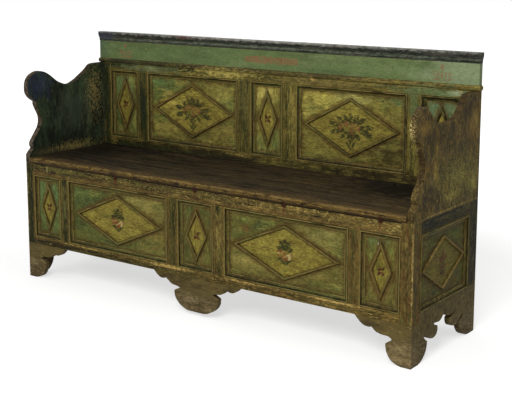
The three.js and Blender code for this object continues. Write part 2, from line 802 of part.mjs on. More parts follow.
// Butt hinges let in flush: two knuckles and the pin on the fixed leaf, one on the moving leaf
function hingeLeaf(x, side, knuckles, gaps) {
  const halfLength = hingeLength / 2;
  const farEdge = hingeLine + side * hingeLeafDepth;
  const plate = block(
    x - halfLength, x + halfLength, Math.min(hingeLine, farEdge), Math.max(hingeLine, farEdge),
    seatTop - hingeLeafThickness, seatTop,
  );
  const cleared = gaps.map(([x0, x1]) => bar(
    knuckleRadius + knuckleClearance, x0, x1, hingeLine, hingeHeight,
  ));
  const barrels = knuckles.map(([x0, x1]) => bar(knuckleRadius, x0, x1, hingeLine, hingeHeight));
  return join(cut(plate, ...cleared), ...barrels);
}

function placeHinge(name, x) {
  const end = hingeLength / 2;
  const third = hingeLength / 6;
  const near = third + fit / 2;
  const far = end + overrun;
  const fixedLeaf = join(
    hingeLeaf(x, 1, [[x - end, x - near], [x + near, x + end]], [[x - near, x + near]]),
    bar(pinRadius, x - end + embed, x + end - embed, hingeLine, hingeHeight),
  );
  const movingBarrel = [x - third + fit / 2, x + third - fit / 2];
  const outerGaps = [[x - far, movingBarrel[0]], [movingBarrel[1], x + far]];
  const movingLeaf = cut(
    hingeLeaf(x, -1, [movingBarrel], outerGaps),
    bar(pinRadius + pinClearance, x - far, x + far, hingeLine, hingeHeight),
  );
  place(`${name}_hinge_fixed_leaf`, fixedLeaf, paints.iron);
  place(`${name}_hinge_moving_leaf`, movingLeaf, paints.iron);
}

placeFront();
placeFrontFeet();
placeSides();
placeArms();
placeBack();
placeTrim();
placeInside();
placeSeat();
placeHinge('left', -hingePlace);
placeHinge('right', hingePlace);

export default bench;
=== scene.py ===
"""A painted pine chest settle in a plain studio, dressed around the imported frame.

The frame gives every board its place. This file adds the fine mouldings, the painted posies,
the hand-worn arms, feet and seat, the forged nails and the hinge screws, and a finish of worn
linseed paint for each surface. Metres, +Z up, +X along the bench, front face towards -Y.
"""

import json
import math
from functools import partial, reduce
from typing import NamedTuple

import bmesh
import bpy
import numpy as np
from bpy.props import FloatProperty, FloatVectorProperty, IntProperty, PointerProperty
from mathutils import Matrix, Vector
from mathutils.geometry import delaunay_2d_cdt


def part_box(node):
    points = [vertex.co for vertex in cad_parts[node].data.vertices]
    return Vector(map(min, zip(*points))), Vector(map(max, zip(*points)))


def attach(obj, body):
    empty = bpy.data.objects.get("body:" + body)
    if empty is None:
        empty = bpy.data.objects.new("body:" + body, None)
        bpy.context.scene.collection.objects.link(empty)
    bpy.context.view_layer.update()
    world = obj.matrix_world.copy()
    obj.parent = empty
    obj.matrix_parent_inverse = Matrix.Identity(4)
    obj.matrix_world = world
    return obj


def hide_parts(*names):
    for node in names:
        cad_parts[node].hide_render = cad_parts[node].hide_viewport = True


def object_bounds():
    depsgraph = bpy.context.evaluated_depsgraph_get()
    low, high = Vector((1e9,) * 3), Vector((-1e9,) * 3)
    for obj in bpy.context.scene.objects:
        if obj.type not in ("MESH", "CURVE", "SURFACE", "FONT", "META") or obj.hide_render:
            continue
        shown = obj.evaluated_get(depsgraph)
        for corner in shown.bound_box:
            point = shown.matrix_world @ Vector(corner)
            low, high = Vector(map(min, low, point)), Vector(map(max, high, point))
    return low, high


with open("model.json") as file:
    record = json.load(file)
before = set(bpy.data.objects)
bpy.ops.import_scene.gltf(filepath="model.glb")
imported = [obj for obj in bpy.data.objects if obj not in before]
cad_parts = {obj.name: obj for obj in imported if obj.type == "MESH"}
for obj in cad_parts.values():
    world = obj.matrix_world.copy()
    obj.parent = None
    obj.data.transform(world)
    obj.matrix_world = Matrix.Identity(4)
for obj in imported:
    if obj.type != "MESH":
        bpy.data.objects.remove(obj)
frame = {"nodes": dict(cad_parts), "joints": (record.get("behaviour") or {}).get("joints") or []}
cad_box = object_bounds()

bl_info = {
    "name": "Painted chest settle",
    "version": (1, 0, 0),
    "blender": (4, 5, 0),
    "location": "3D View > Sidebar > Settle",
    "description": "Dresses a chest settle in worn paint, mouldings, posies and ironwork",
    "category": "Object",
}

MM = 0.001
CARCASE = "carcase"
LID = "lid"
HALF_LENGTH = cad_box[1].x
SIDES = (("right", 1), ("left", -1))
# Along, up and out of a face that looks to the front
FRONT = ((1, 0, 0), (0, 0, 1), (0, -1, 0))

# The frame's panels: their tongues, how far they lie behind its face, their boards, and how far
# the lozenges keep from the openings along and up
TONGUE = 6 * MM
SETBACK = 9 * MM
PANEL_THICKNESS = 8 * MM
LOZENGE_MARGINS = {"front": (34 * MM, 31 * MM), "back": (31 * MM, 35 * MM), "side": (19 * MM, 34 * MM)}
# How deep mouldings go into what carries them, the gap round loose parts, and where points meet
EMBED = 1 * MM
GAP = 0.3 * MM
WELD = 0.01 * MM
# The lid's round front edges, and its pockets for the hinges
NOSE = 8 * MM
UNDER_NOSE = 3 * MM
LEAF_THICKNESS = 2.4 * MM
LEAF_DEPTH = 32 * MM
KNUCKLE_CLEARANCE = 5.5 * MM
# Screws: their height, how far they are from the hinge line, and how far apart on a cleat
SCREW_HEIGHT = 0.5 * MM
SCREW_FROM_HINGE = 20 * MM
SCREW_SPACING = 120 * MM
# Unevenness of hand work: its height and its length on mouldings, the lengths of bites out of
# an edge and of the swell of its rounding, and the spacing of points on a plank's face
UNEVEN = 0.25 * MM
MOULDING_WAVE = 90 * MM
BITE_WAVES = (45 * MM, 17 * MM)
EDGE_WAVE = 110 * MM
PLANK_GRID = 12 * MM
# Middles of the three ornaments along the frieze
FRIEZE_PLACES = (-748 * MM, 20 * MM, 758 * MM)


# Settings that a user would change


def linear(code):
    """Linear RGBA from an sRGB hex code."""
    shares = [int(code[i:i + 2], 16) / 255 for i in (1, 3, 5)]
    return (*[s / 12.92 if s <= 0.04045 else ((s + 0.055) / 1.055) ** 2.4 for s in shares], 1.0)


# Each of these makes one setting, with its default in the unit that its last value names
def number(name, description, default, kind=FloatProperty, **rest):
    return kind(name=name, description=description, default=default, **rest)


def length(name, description, millimetres):
    size = {"min": 0.0, "subtype": "DISTANCE", "unit": "LENGTH", "precision": 4}
    return number(name, description, millimetres * MM, **size)


def angle(name, description, degrees):
    return number(name, description, math.radians(degrees), subtype="ANGLE", unit="ROTATION")


def power(name, description, watts):
    return number(name, description, watts, min=0.0, unit="POWER")


def colour(name, description, code):
    tone = {"size": 4, "min": 0.0, "max": 1.0, "subtype": "COLOR"}
    return number(name, description, linear(code), FloatVectorProperty, **tone)


class SettleSizes(bpy.types.PropertyGroup):
    """Sizes of the fine work, which the frame's plain solids leave out."""

    grid: length("Grid", "Spacing of the points on painted boards", 2.5)
    moulding_width: length("Moulding width", "Width of the panel moulding", 18.0)
    moulding_proud: length("Moulding proud", "How far its bead stands out of the frame", 3.0)
    moulding_bead: length("Bead", "Radius of the bead along the frame", 3.0)
    moulding_toe: length("Toe", "Thickness of the moulding's inner edge", 2.0)
    strip_width: length("Lozenge strip", "Width of the half-round strip round a lozenge", 10.0)
    strip_height: length("Strip height", "Height of that strip over the panel", 6.0)
    arris: length("Arris", "Rounding of the planed edges of rails and stiles", 1.4)
    worn_edge: length("Worn edge", "Rounding of the edges that hands and boots reach", 3.2)
    chip: length("Chips", "Depth of the bites along the edges of arms and feet", 2.2)
    nail_head: length("Nail head", "Radius of the forged nail heads", 6.5)
    screw_head: length("Screw head", "Radius of the hinge screws", 4.0)


class SettleColours(bpy.types.PropertyGroup):
    """The coat of paint or the surface of each part, under its wear."""

    panel: colour("Panels", "Green of the panels in the chest", "#53582b")
    back_panel: colour("Back panels", "Yellower green of the panels in the back", "#59602f")
    lozenge: colour("Lozenges", "Ochre of the lozenge fields", "#756a2d")
    frame: colour("Frame", "Dark green of the stiles and rails", "#494421")
    moulding: colour("Mouldings", "Brown ochre of the mouldings", "#4a4020")
    frieze: colour("Frieze", "Grey green of the board over the back", "#59683f")
    cornice: colour("Cornice", "Slate green of the cornice", "#2b2f26")
    arm: colour("Arms outside", "Brown of the outer faces of the arms", "#574929")
    arm_inside: colour("Arms inside", "Green black of the inner faces", "#1b211a")
    foot: colour("Feet", "Grey brown of the scuffed feet", "#695b3e")
    seat: colour("Seat", "Dark brown of the seat", "#241e16")
    pine: colour("Bare pine", "Unpainted pine behind and inside", "#6e5534")
    iron: colour("Iron", "Rusty iron of nails and hinges", "#2e2722")


class SettleStage(bpy.types.PropertyGroup):
    """Camera, floor and lamps."""

    lens: number("Lens", "Focal length of the camera in millimetres", 76.75, min=1.0)
    shift: number("Shift", "Fall of the lens, which keeps upright lines upright", -0.12, min=-0.5, max=0.5)
    azimuth: angle("Azimuth", "Turn of the camera to the right of the bench's front", 36.232)
    pitch: angle("Pitch", "How far the camera looks down", 9.778)
    eye: number(
        "Eye", "Place of the camera", (2.4868, -3.2486, 1.3263), FloatVectorProperty,
        subtype="TRANSLATION", unit="LENGTH")
    key: power("Key lamp", "Power of the soft box in front", 150.0)
    fill: power("Fill lamp", "Power of the soft box on the left and of the one above", 30.0)
    room: number("Room light", "Strength of the even light from all round", 0.35, min=0.0)
    floor_rings: number("Floor rings", "Rings of points in the floor", 12, IntProperty, min=3)


def made(thing, **settings):
    """The thing, with its settings made."""
    for key, value in settings.items():
        setattr(thing, key, value)
    return thing


# Surfaces worked out with numpy


def wander(run, wave, seed):
    """Hand-made unevenness between -1 and 1 along run, which closes on itself: three sines
    with whole numbers of waves, near the run over wave, 1.6 and 2.7 times that, and phases
    that follow from the seed."""
    whole = run.max() - run.min()
    total = np.zeros_like(run, dtype=float)
    for ratio, share in ((1.0, 0.5), (1.6, 0.3), (2.7, 0.2)):
        count = max(1, round(ratio * whole / wave))
        total += share * np.sin(2 * np.pi * count * run / whole + seed * (1 + 3.1 * ratio))
    return total


def run_along(points):
    """How far each point lies along the line through them all: the sum of the steps to it."""
    return np.append(0.0, np.cumsum(np.linalg.norm(np.diff(points, axis=0), axis=1)))


def quads(rows, columns, wrap_rows=False, wrap_columns=False):
    """Corner numbers of the faces between neighbours on a grid, first index along the rows."""
    i = np.arange(rows if wrap_rows else rows - 1)[:, None]
    j = np.arange(columns if wrap_columns else columns - 1)[None, :]
    next_i, next_j = (i + 1) % rows, (j + 1) % columns
    corners = [i * columns + j, next_i * columns + j, next_i * columns + next_j, i * columns + next_j]
    return np.stack(np.broadcast_arrays(*corners), -1).reshape(-1, 4)


def plane(origin, *axes):
    """A function that turns arrays of distances along, up and out of a face into points: the
    origin plus each distance times its axis."""
    return lambda a, b, h: np.array(origin, float) + np.stack([a, b, h], -1) @ np.array(axes, float)


def make_piece(name, points, faces, finish, body, slot, stands_for=(), fields=None, uv=None, sharp=35):
    """A finished object from arrays of points and faces. Fields are values for each point,
    and uv has a pair for each corner of each face, in the order of the faces."""
    mesh = bpy.data.meshes.new(name)
    mesh.from_pydata(points.reshape(-1, 3).tolist(), [], faces)
    for key, values in (fields or {}).items():
        kind, entry = ("FLOAT_VECTOR", "vector") if values.ndim == 2 else ("FLOAT", "value")
        attribute = mesh.attributes.new(key, kind, "POINT")
        attribute.data.foreach_set(entry, values.astype(np.float32).ravel())
    if uv is not None:
        mesh.uv_layers.new(name="Run").data.foreach_set("uv", uv.astype(np.float32).ravel())
    mesh.polygons.foreach_set("use_smooth", np.ones(len(mesh.polygons), bool))
    mesh.set_sharp_from_angle(angle=math.radians(sharp))
    mesh.materials.append(finish)
    mesh.update()
    piece = bpy.data.objects.new(name, mesh)
    bpy.context.scene.collection.objects.link(piece)
    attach(piece, body)
    if stands_for:
        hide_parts(*stands_for)


def board(name, to_world, half_a, half_b, thick, relief, fields, step, finish, slot, stands_for):
    """A board whose front is the height relief(a, b) on a grid, with a flat rear thick behind
    the face. The rim of the grid is joined to the rear, so the board is closed."""
    a, b = np.meshgrid(*(
        np.linspace(-half, half, max(3, round(2 * half / step) + 1)) for half in (half_a, half_b)
    ), indexing="ij")
    index = np.arange(a.size).reshape(a.shape)
    rim = np.concatenate([index[:-1, 0], index[-1, :-1], index[:0:-1, -1], index[0, :0:-1]])
    front = to_world(a, b, relief(a, b)).reshape(-1, 3)
    rear = to_world(a.ravel()[rim], b.ravel()[rim], np.full(len(rim), -thick))
    behind = a.size + np.arange(len(rim))
    walls = np.stack([rim, behind, np.roll(behind, -1), np.roll(rim, -1)], -1)
    faces = quads(*a.shape).tolist() + walls.tolist() + [behind[::-1].tolist()]
    kept = {}
    for key, formula in fields.items():
        values = formula(a, b).reshape(a.size, -1)
        kept[key] = np.concatenate([values, values[rim]]).squeeze()
    make_piece(name, np.concatenate([front, rear]), faces, finish, CARCASE, slot, stands_for, kept)


def mitred_strip(name, to_world, corners, profile, step, seed, finish, slot):
    """A profile of (inward, height, painted quirk shade and crest wear) carried round a closed polygon
    with mitred corners.
    At a corner the profile lies on the bisector, stretched by one over one plus the cosine
    between the two edges' normals, and between corners it is shared out evenly."""
    corners = np.array(corners, float)
    edges = np.roll(corners, -1, 0) - corners
    spans = np.linalg.norm(edges, axis=1)
    normals = np.stack([-edges[:, 1], edges[:, 0]], -1) / spans[:, None]
    before = np.roll(normals, 1, 0)
    bisectors = (before + normals) / (1 + (before * normals).sum(1))[:, None]
    inward, height, dirt = profile.T
    rings = corners[:, None] + bisectors[:, None] * inward[:, None]
    counts = np.maximum(2, np.round(spans / step).astype(int))
    flat = np.concatenate([
        here + (np.arange(count) / count)[:, None, None] * (there - here)
        for here, there, count in zip(rings, np.roll(rings, -1, 0), counts)])
    along = run_along(np.concatenate([flat[:, 0], flat[:1, 0]]))
    uneven = UNEVEN * wander(along, MOULDING_WAVE, seed)[:-1]
    heights = height + uneven[:, None] * (height > 0)
    across = run_along(np.stack([inward, height], -1))
    across = np.append(across, across[-1])
    i, j = (numbers.ravel() for numbers in np.indices(heights.shape))
    uv = [np.stack([along[i + k], across[j + m]], -1) for k, m in ((0, 0), (1, 0), (1, 1), (0, 1))]
    make_piece(
        name, to_world(flat[..., 0], flat[..., 1], heights),
        quads(*heights.shape, wrap_rows=True, wrap_columns=True).tolist(), finish, CARCASE, slot,
        fields={"dirt": np.broadcast_to(dirt, heights.shape).ravel()}, uv=np.stack(uv, 1), sharp=50)


def outline_of(node, look):
    """Corners, in order, of the largest flat face of a node that looks along the given way:
    a copy of its triangles is merged, and the flat ones are dissolved into whole faces."""
    shape = bmesh.new()
    shape.from_mesh(frame["nodes"][node].data)
    bmesh.ops.remove_doubles(shape, verts=shape.verts, dist=WELD)
    bmesh.ops.dissolve_limit(shape, angle_limit=math.radians(0.5), verts=shape.verts, edges=shape.edges)
    facing = [face for face in shape.faces if face.normal.dot(Vector(look)) > 0.99]
    largest = max(facing, key=lambda face: face.calc_area())
    corners = np.array([vertex.co for vertex in largest.verts])
    shape.free()
    return corners


def eased(corners, step, sharp=38.0, rounds=14):
    """A closed outline resampled at about step along each edge, then relaxed: each round moves
    a point half way to the middle of its neighbours, apart from corners that turn sharply.
    Also tells which points lie on a long straight edge, where the plank meets another."""
    edges = np.roll(corners, -1, 0) - corners
    spans = np.linalg.norm(edges, axis=1)
    ways = edges / spans[:, None]
    turn = np.degrees(np.arccos(np.clip((ways * np.roll(ways, 1, 0)).sum(1), -1, 1)))
    counts = np.maximum(1, np.round(spans / step).astype(int))
    points = np.concatenate([
        corner + (np.arange(count) / count)[:, None] * edge
        for corner, edge, count in zip(corners, edges, counts)])
    free = np.ones(len(points))
    free[(np.cumsum(counts) - counts)[turn > sharp]] = 0
    for _ in range(rounds):
        middle = (np.roll(points, 1, 0) + np.roll(points, -1, 0)) / 2
        points = points + 0.5 * free[:, None] * (middle - points)
    return points, np.repeat(spans > 30 * MM, counts)


def plank(name, node, look, sizes, seed, finish, slot):
    """A shaped plank from a node's outline. Its faces are triangles between the outline, rings
    inside it and a grid, and each point lies below the face by a quarter circle of its
    distance from the outline. The circle's radius and bites out of the edge wander along."""
    low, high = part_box(node)
    thick = high.y - low.y if look[1] else high.x - low.x
    normal = np.array(look, float)
    edge, straight = eased(outline_of(node, look), sizes.grid)
    tangent = np.roll(edge, -1, 0) - np.roll(edge, 1, 0)
    tangent /= np.linalg.norm(tangent, axis=1)[:, None]
    inward = np.cross(normal, tangent)
    run = run_along(edge)
    low, high = edge.min(0), edge.max(0)
    at_box = ((edge - low < 0.5 * MM) | (high - edge < 0.5 * MM)) & (high - low > MM)
    hidden = at_box.any(1) & straight
    long_bite, short_bite = (wander(run, wave, seed + 5 * k) for k, wave in enumerate(BITE_WAVES))
    bite = np.clip(long_bite + 0.6 * short_bite - 0.55, 0, 1)
    edge = edge + (sizes.chip * np.where(hidden, 0, bite))[:, None] * inward
    radius = sizes.worn_edge * np.where(hidden, 0.08, 0.75 + 0.3 * wander(run, EDGE_WAVE, seed + 9))

    up = np.array([0.0, 0.0, 1.0])
    side = np.cross(up, normal)
    flat, flat_inward = (np.stack([way @ side, way[:, 2]], -1) for way in (edge, inward))
    insets = [radius * (1 - np.sin(turn)) for turn in np.linspace(0, np.pi / 2, 5)[1:-1]]
    insets += [radius, radius + 1.5 * MM]
    grid = np.stack(np.meshgrid(*(
        np.arange(line.min(), line.max(), PLANK_GRID) for line in flat.T
    ), indexing="ij"), -1).reshape(-1, 2)
    inner = np.concatenate([flat + inset[:, None] * flat_inward for inset in insets] + [grid])
    wanted = np.concatenate([*insets, np.full(len(grid), sizes.worn_edge + 4 * MM)])
    inner = inner[np.linalg.norm(inner[:, None] - flat[None], axis=2).min(1) > 0.97 * wanted]
    around = np.arange(len(flat))
    around = np.stack([around, np.roll(around, -1)], -1).tolist()
    points = [Vector(point) for point in np.concatenate([flat, inner])]
    points, _, triangles, *_ = delaunay_2d_cdt(points, around, [], 1, WELD / 10)
    points, triangles = np.array([tuple(point) for point in points]), np.array(triangles)
    from_edge = np.linalg.norm(points[:, None] - flat[None], axis=2)
    nearest = radius[from_edge.argmin(1)]
    share = np.clip(1 - from_edge.min(1) / nearest, 0, 1)
    depth = nearest * (1 - np.sqrt(1 - share ** 2))
    ahead = edge[0] @ normal
    face = points[:, :1] * side + points[:, 1:] * up
    both = [face + off[:, None] * normal for off in (ahead - depth, ahead - thick + depth)]
    corners = points[triangles]
    area = np.cross(corners[:, 1] - corners[:, 0], corners[:, 2] - corners[:, 0])
    triangles = np.where((area > 0)[:, None], triangles, triangles[:, ::-1])
    rim = rim_of(triangles)
    walls = np.hstack([rim[:, ::-1], rim + len(points)])
    faces = triangles.tolist() + (triangles[:, ::-1] + len(points)).tolist() + walls.tolist()
    make_piece(name, np.concatenate(both), faces, finish, CARCASE, slot, (node,), sharp=50)


def rim_of(triangles):
    """The edges that only one triangle has, in the sense of that triangle: those whose code,
    first corner times count plus second, isn't among the codes of the turned edges."""
    pairs = np.concatenate([triangles[:, [0, 1]], triangles[:, [1, 2]], triangles[:, [2, 0]]])
    count = triangles.max() + 1
    return pairs[~np.isin(pairs @ [count, 1], pairs @ [1, count])]


def knob(to_world, radius, height, rings, sides, shape):
    """Points and faces of a round head: shape(share of the radius, angle) gives the reach and
    the height over a disc, and a skirt goes down to the surface, closed below."""
    shares = np.append(np.linspace(0, 1, rings)[1:], 1.0)
    share, turn = np.meshgrid(shares, 2 * np.pi * np.arange(sides) / sides, indexing="ij")
    reach, rise = shape(share, turn)
    rise[-1] = -MM
    around = to_world(radius * reach * np.cos(turn), radius * reach * np.sin(turn), height * rise)
    middle = np.zeros((1, 1))
    top = to_world(middle, middle, height * shape(middle, middle)[1])
    first = np.arange(sides)
    fan = np.stack([np.full(sides, share.size), first, np.roll(first, -1)], -1)
    base = (share.size - 1 - first).tolist()
    points = np.concatenate([around.reshape(-1, 3), top.reshape(-1, 3)])
    return points, quads(*share.shape, wrap_columns=True).tolist() + fan.tolist() + [base]


def merged(parts):
    """Several (points, faces) shapes as one."""
    faces, start = [], 0
    for part_points, part_faces in parts:
        faces += [[start + corner for corner in face] for face in part_faces]
        start += len(part_points)
    return np.concatenate([part_points for part_points, _ in parts]), faces


# Painted motifs: signed distances in millimetres, positive inside a brush stroke

LEAF, BLOOM, LIGHT = range(3)
FAR = 12.0


def rose(x, z, size, turn):
    """Five petals round a place, with two lighter touches."""
    petals = [(BLOOM, x, z, turn + 72 * k, size, 0.8 * size) for k in range(5)]
    return petals + [(LIGHT, x, z, turn + 20 + 144 * k, 0.7 * size, 0.3 * size) for k in range(2)]


def both_sides(strokes):
    """The strokes and their mirror images about the upright middle line."""
    return strokes + [
        (layer, -x, z, 180 - degrees, long, wide) for layer, x, z, degrees, long, wide in strokes]


# A stroke is one touch of the brush, pointed at both ends: its layer, where it starts, its
# angle in degrees, its length and its width
POSY = [
    (LEAF, 0, 6, 90, 42, 24), (LEAF, 0, -46, 90, 42, 5),
    *both_sides([
        (LEAF, 2, 8, 56, 38, 20), (LEAF, 10, 6, 22, 28, 14),
        (LEAF, 2, -30, 14, 28, 10), (LEAF, 0, -46, 46, 26, 9),
    ]),
    *rose(-19, -5, 17, 10), *rose(1, -16, 15, 30), *rose(20, -9, 12, 50),
    (LIGHT, 14, -26, 60, 22, 13), (LIGHT, 8, -8, 20, 16, 8),
]
SPRAY = [
    (LEAF, -2, 14, 92, 44, 26), (LEAF, -3, -90, 88, 98, 9), (LEAF, -12, 16, 120, 38, 20),
    (LEAF, -26, 16, 148, 44, 18), (LEAF, -34, 6, 172, 64, 20), (LEAF, -28, -6, 195, 66, 22),
    (LEAF, -12, -12, 222, 44, 18), (LEAF, 12, 18, 60, 40, 22), (LEAF, 24, 16, 30, 48, 18),
    (LEAF, 32, 4, 4, 68, 20), (LEAF, 32, -6, -16, 70, 24), (LEAF, 12, -14, -46, 42, 18),
    (LEAF, -1, -12, -88, 34, 30), *both_sides([(LEAF, 2, -80, 60, 34, 10), (LEAF, 3, -52, 52, 24, 9)]),
    *rose(-46, 2, 14, 0), *rose(-20, 14, 15, 24), *rose(6, 8, 13, 60), *rose(30, 2, 15, 30),
    *rose(2, -12, 12, 20),
]
STAR = [*both_sides([(LEAF, 1, 1, 48, 19, 12), (BLOOM, 1, -1, -48, 17, 11)]), (LIGHT, -3, 0, 0, 6, 5)]
SPRIG = [
    (BLOOM, 0, 8, 90, 34, 17), (LEAF, 0, -44, 90, 50, 6),
    *both_sides([(BLOOM, 3, 4, 36, 28, 14), (BLOOM, 2, -20, 24, 24, 12), (LEAF, 1, -42, 30, 22, 10)]),
]
FRIEZE_TUFT = [
    (BLOOM, 0, 8, 90, 22, 13), (BLOOM, 0, -24, 90, 28, 8),
    *both_sides([(BLOOM, 13, -20, 82, 24, 8), (BLOOM, 27, -16, 74, 20, 8), (BLOOM, 2, -28, 8, 38, 7)]),
]
FRIEZE_GARLAND = [
    (BLOOM, 0, -14, 90, 30, 26),
    *both_sides([(BLOOM, 10 + 13 * k, 0, way, 27 - 1.2 * k, 11) for k in range(9) for way in (-34, 34)]),
]


def painted_over(strokes, a, b, x=0.0):
    """Layers of signed distance, in millimetres, of strokes about x: inside a stroke half its
    width times the root of the sine of the share along it, less the distance from its middle
    line, and outside it minus the distance past its ends or sides."""
    layers = np.full((*a.shape, 3), -FAR)
    for layer, stroke_x, stroke_z, degrees, long, wide in strokes:
        cosine, sine = math.cos(math.radians(degrees)), math.sin(math.radians(degrees))
        from_x, from_z = (a - x) / MM - stroke_x, b / MM - stroke_z
        along = from_x * cosine + from_z * sine
        aside = np.abs(from_z * cosine - from_x * sine)
        belly = np.sqrt(np.sin(np.pi * np.clip(along / long, 0, 1)))
        past = np.maximum(np.maximum(-along, along - long), 0)
        distance = np.where(past > 0, -np.hypot(past, aside), wide / 2 * belly - aside)
        layers[..., layer] = np.maximum(layers[..., layer], distance)
    return np.clip(layers, -FAR, FAR)


# How a finish is built up

UNTURNED = (0, 0, 0)
# Brush marks, then cloudy wear: length, breadth and strength
MOTTLE = (((13, 4), 0.5), ((60, 24), 0.26))


def add(tree, kind, *values, **settings):
    """A new node with its settings and links; a kind in capitals is a Math operation. Values go
    to its live inputs in their order, or by name from a dict. A hex code becomes a colour, and
    a node is linked from its first live output."""
    if kind.isupper():
        kind, settings["operation"] = "Math", kind
    if kind == "Mix":
        settings["data_type"] = "RGBA"
    node = made(tree.nodes.new("ShaderNode" + kind), **settings)
    live = [socket for socket in node.inputs if socket.enabled]
    named = values[0] if values and isinstance(values[0], dict) else dict(enumerate(values))
    for key, value in named.items():
        socket = live[key] if isinstance(key, int) else next(s for s in live if s.name == key)
        if isinstance(value, bpy.types.Node):
            value = next(output for output in value.outputs if output.enabled)
        if isinstance(value, bpy.types.NodeSocket):
            tree.links.new(value, socket)
        else:
            socket.default_value = linear(value) if isinstance(value, str) else value
    return node


class Layers:
    """The layers of one finish, which follow a place on the wood and the way of its grain."""

    def __init__(self, tree, grain="", source="Object"):
        self.tree = tree
        self.grain = grain
        self.add = partial(add, tree)
        self.place = self.add("TexCoord").outputs[source]

    def at(self, axis):
        """The place on one axis."""
        return self.add("SeparateXYZ", self.place).outputs[axis]

    def looks(self, axis):
        """How far a face looks along an axis."""
        return self.add("SeparateXYZ", self.add("TexCoord").outputs["Normal"]).outputs[axis]

    def noise(self, sizes, seed, detail=5.0):
        """Cloudy noise, near 0.5. Its features have a length along the grain and a breadth
        across it, in millimetres, or three sizes on X, Y and Z."""
        if len(sizes) == 2:
            sizes = [sizes[0] if axis == self.grain else sizes[1] for axis in "XYZ"]
        scale = [1 / (MM * size) for size in sizes]
        spot = self.add("Mapping", self.place, (seed, 0.37 * seed, 0.71 * seed), UNTURNED, scale)
        return self.add("TexNoise", spot, 1.0, detail, 0.62)

    def flecks(self, sizes, start, end, seed, drift=0.0):
        """A mask of noise patches, with more of them towards the right end by drift."""
        level = self.noise(sizes, seed)
        if drift:
            level = self.add("MULTIPLY_ADD", self.at("X"), drift / HALF_LENGTH, level)
        return self.add("MapRange", level, start, end)

    def ragged(self, distance, noise, weight, start, end, share=1.0):
        """A mask with a ragged border: from 0 to the share while the distance, plus the noise
        times its weight, goes from start to end."""
        level = self.add("MULTIPLY_ADD", noise, weight, distance)
        return self.add("MapRange", level, start, end, 0.0, share)

    def layered(self, tone, *layers):
        """The tone under layers, each a share and a colour or a node, the first one lowest."""
        for share, above in layers:
            tone = self.add("Mix", share, tone, above)
        return tone

    def washed(self, tone, washes, seed):
        """The tone under its washes. A wash is a stain, a worn place or more paint: its colour,
        the length and the breadth of a noise, where that noise passes from none of it to all,
        and any drift."""
        for order, (code, long, broad, start, end, *drift) in enumerate(washes):
            mask = self.flecks((long, broad), start, end, seed + 3.7 * order, *drift)
            tone = self.add("Mix", mask, tone, code)
        return tone

    def spotted(self, tone, spots, seed):
        """The tone with marks at given places: a colour, a middle and half lengths on X, Y and
        Z in millimetres, a strength, and the size and the weight of the noise that frays the
        mark, or that scatters it in specks where the weight is over 5."""
        for order, (code, middle, reach, share, fray, *weight) in enumerate(spots):
            weight = weight[0] if weight else 1.6
            place, size = ([MM * value for value in triple] for triple in (middle, reach))
            inside = self.add("Mapping", self.place, place, UNTURNED, size, vector_type="TEXTURE")
            away = self.add("VectorMath", inside, operation="LENGTH")
            level = self.noise((1.6 * fray, 0.7 * fray), seed + order)
            outside = weight / 2 + 1.0
            mask = self.ragged(away, level, weight, outside, outside - 0.5 - 0.12 * weight, share)
            tone = self.add("Mix", mask, tone, code)
        return tone

    def mottled(self, tone, seed, depth=1.0):
        """The tone made darker and lighter by fine brush marks and by cloudy wear."""
        for order, (sizes, strength) in enumerate(MOTTLE):
            level = self.noise(sizes, seed + 50 + order, detail=7.0)
            swing = depth * strength
            level = self.add("MapRange", level, 0.34, 0.66, 1 - swing, 1 + swing)
            tone = self.add("Mix", 1.0, tone, level, blend_type="MULTIPLY")
        return tone

    def shade_in_crevices(self, reach, share):
        """Painted shade from ambient occlusion: the share deep in a corner or a gap and 0 in the open."""
        clear = self.add("AmbientOcclusion", {"Distance": reach}, samples=8).outputs["AO"]
        return self.add("MULTIPLY", self.add("MapRange", clear, 0.85, 0.25), share)

    def worn(self, tone, coat, seed):
        """The tone rubbed to the ground on its edges, flecked, and darkened with painted shade in corners.
        On an edge the normal of a rounded copy leans away from the face's own."""
        soft = self.add("Bevel", 5 * MM, samples=4)
        flat = self.add("NewGeometry").outputs["Normal"]
        alike = self.add("VectorMath", soft, flat, operation="DOT_PRODUCT")
        patchy = self.flecks((34, 9), 0.36, 0.56, seed + 41)
        rub = self.add("MULTIPLY", self.add("MapRange", alike, 0.995, 0.86), patchy)
        return self.layered(
            tone,
            (self.add("MULTIPLY", rub, coat.edge_share), coat.edge),
            (self.flecks((11, 5), coat.fleck_start, coat.fleck_start + 0.05, seed + 47), coat.fleck),
            (self.shade_in_crevices(14 * MM, coat.crevice_shade_share), coat.crevice_shade))

    def posies(self, tone, codes, strength=0.8, fray_by=9.0):
        """Leaves, blooms and light touches brushed over the tone, frayed at their edges by a
        part of this many millimetres, and rubbed through in spots."""
        motif = self.add("Attribute", attribute_name="motif").outputs["Vector"]
        layers = self.add("SeparateXYZ", motif).outputs
        middle = fray_by / 2
        for order, (layer, code) in enumerate(zip("XYZ", codes)):
            level = self.noise((14, 8, 8), 7.0 + order)
            mask = self.ragged(layers[layer], level, fray_by, middle - 1.2, middle + 1.2, strength)
            kept = self.flecks((11, 7, 7), 0.66, 0.48, 9.0 + order)
            tone = self.add("Mix", self.add("MULTIPLY", mask, kept), tone, code)
        return tone

    def looks_inward(self):
        """1 on faces that look towards the middle of the bench's length."""
        inward = self.add("MULTIPLY", self.add("SIGN", self.at("X")), self.looks("X"))
        return self.add("MapRange", inward, -0.5, -0.6)

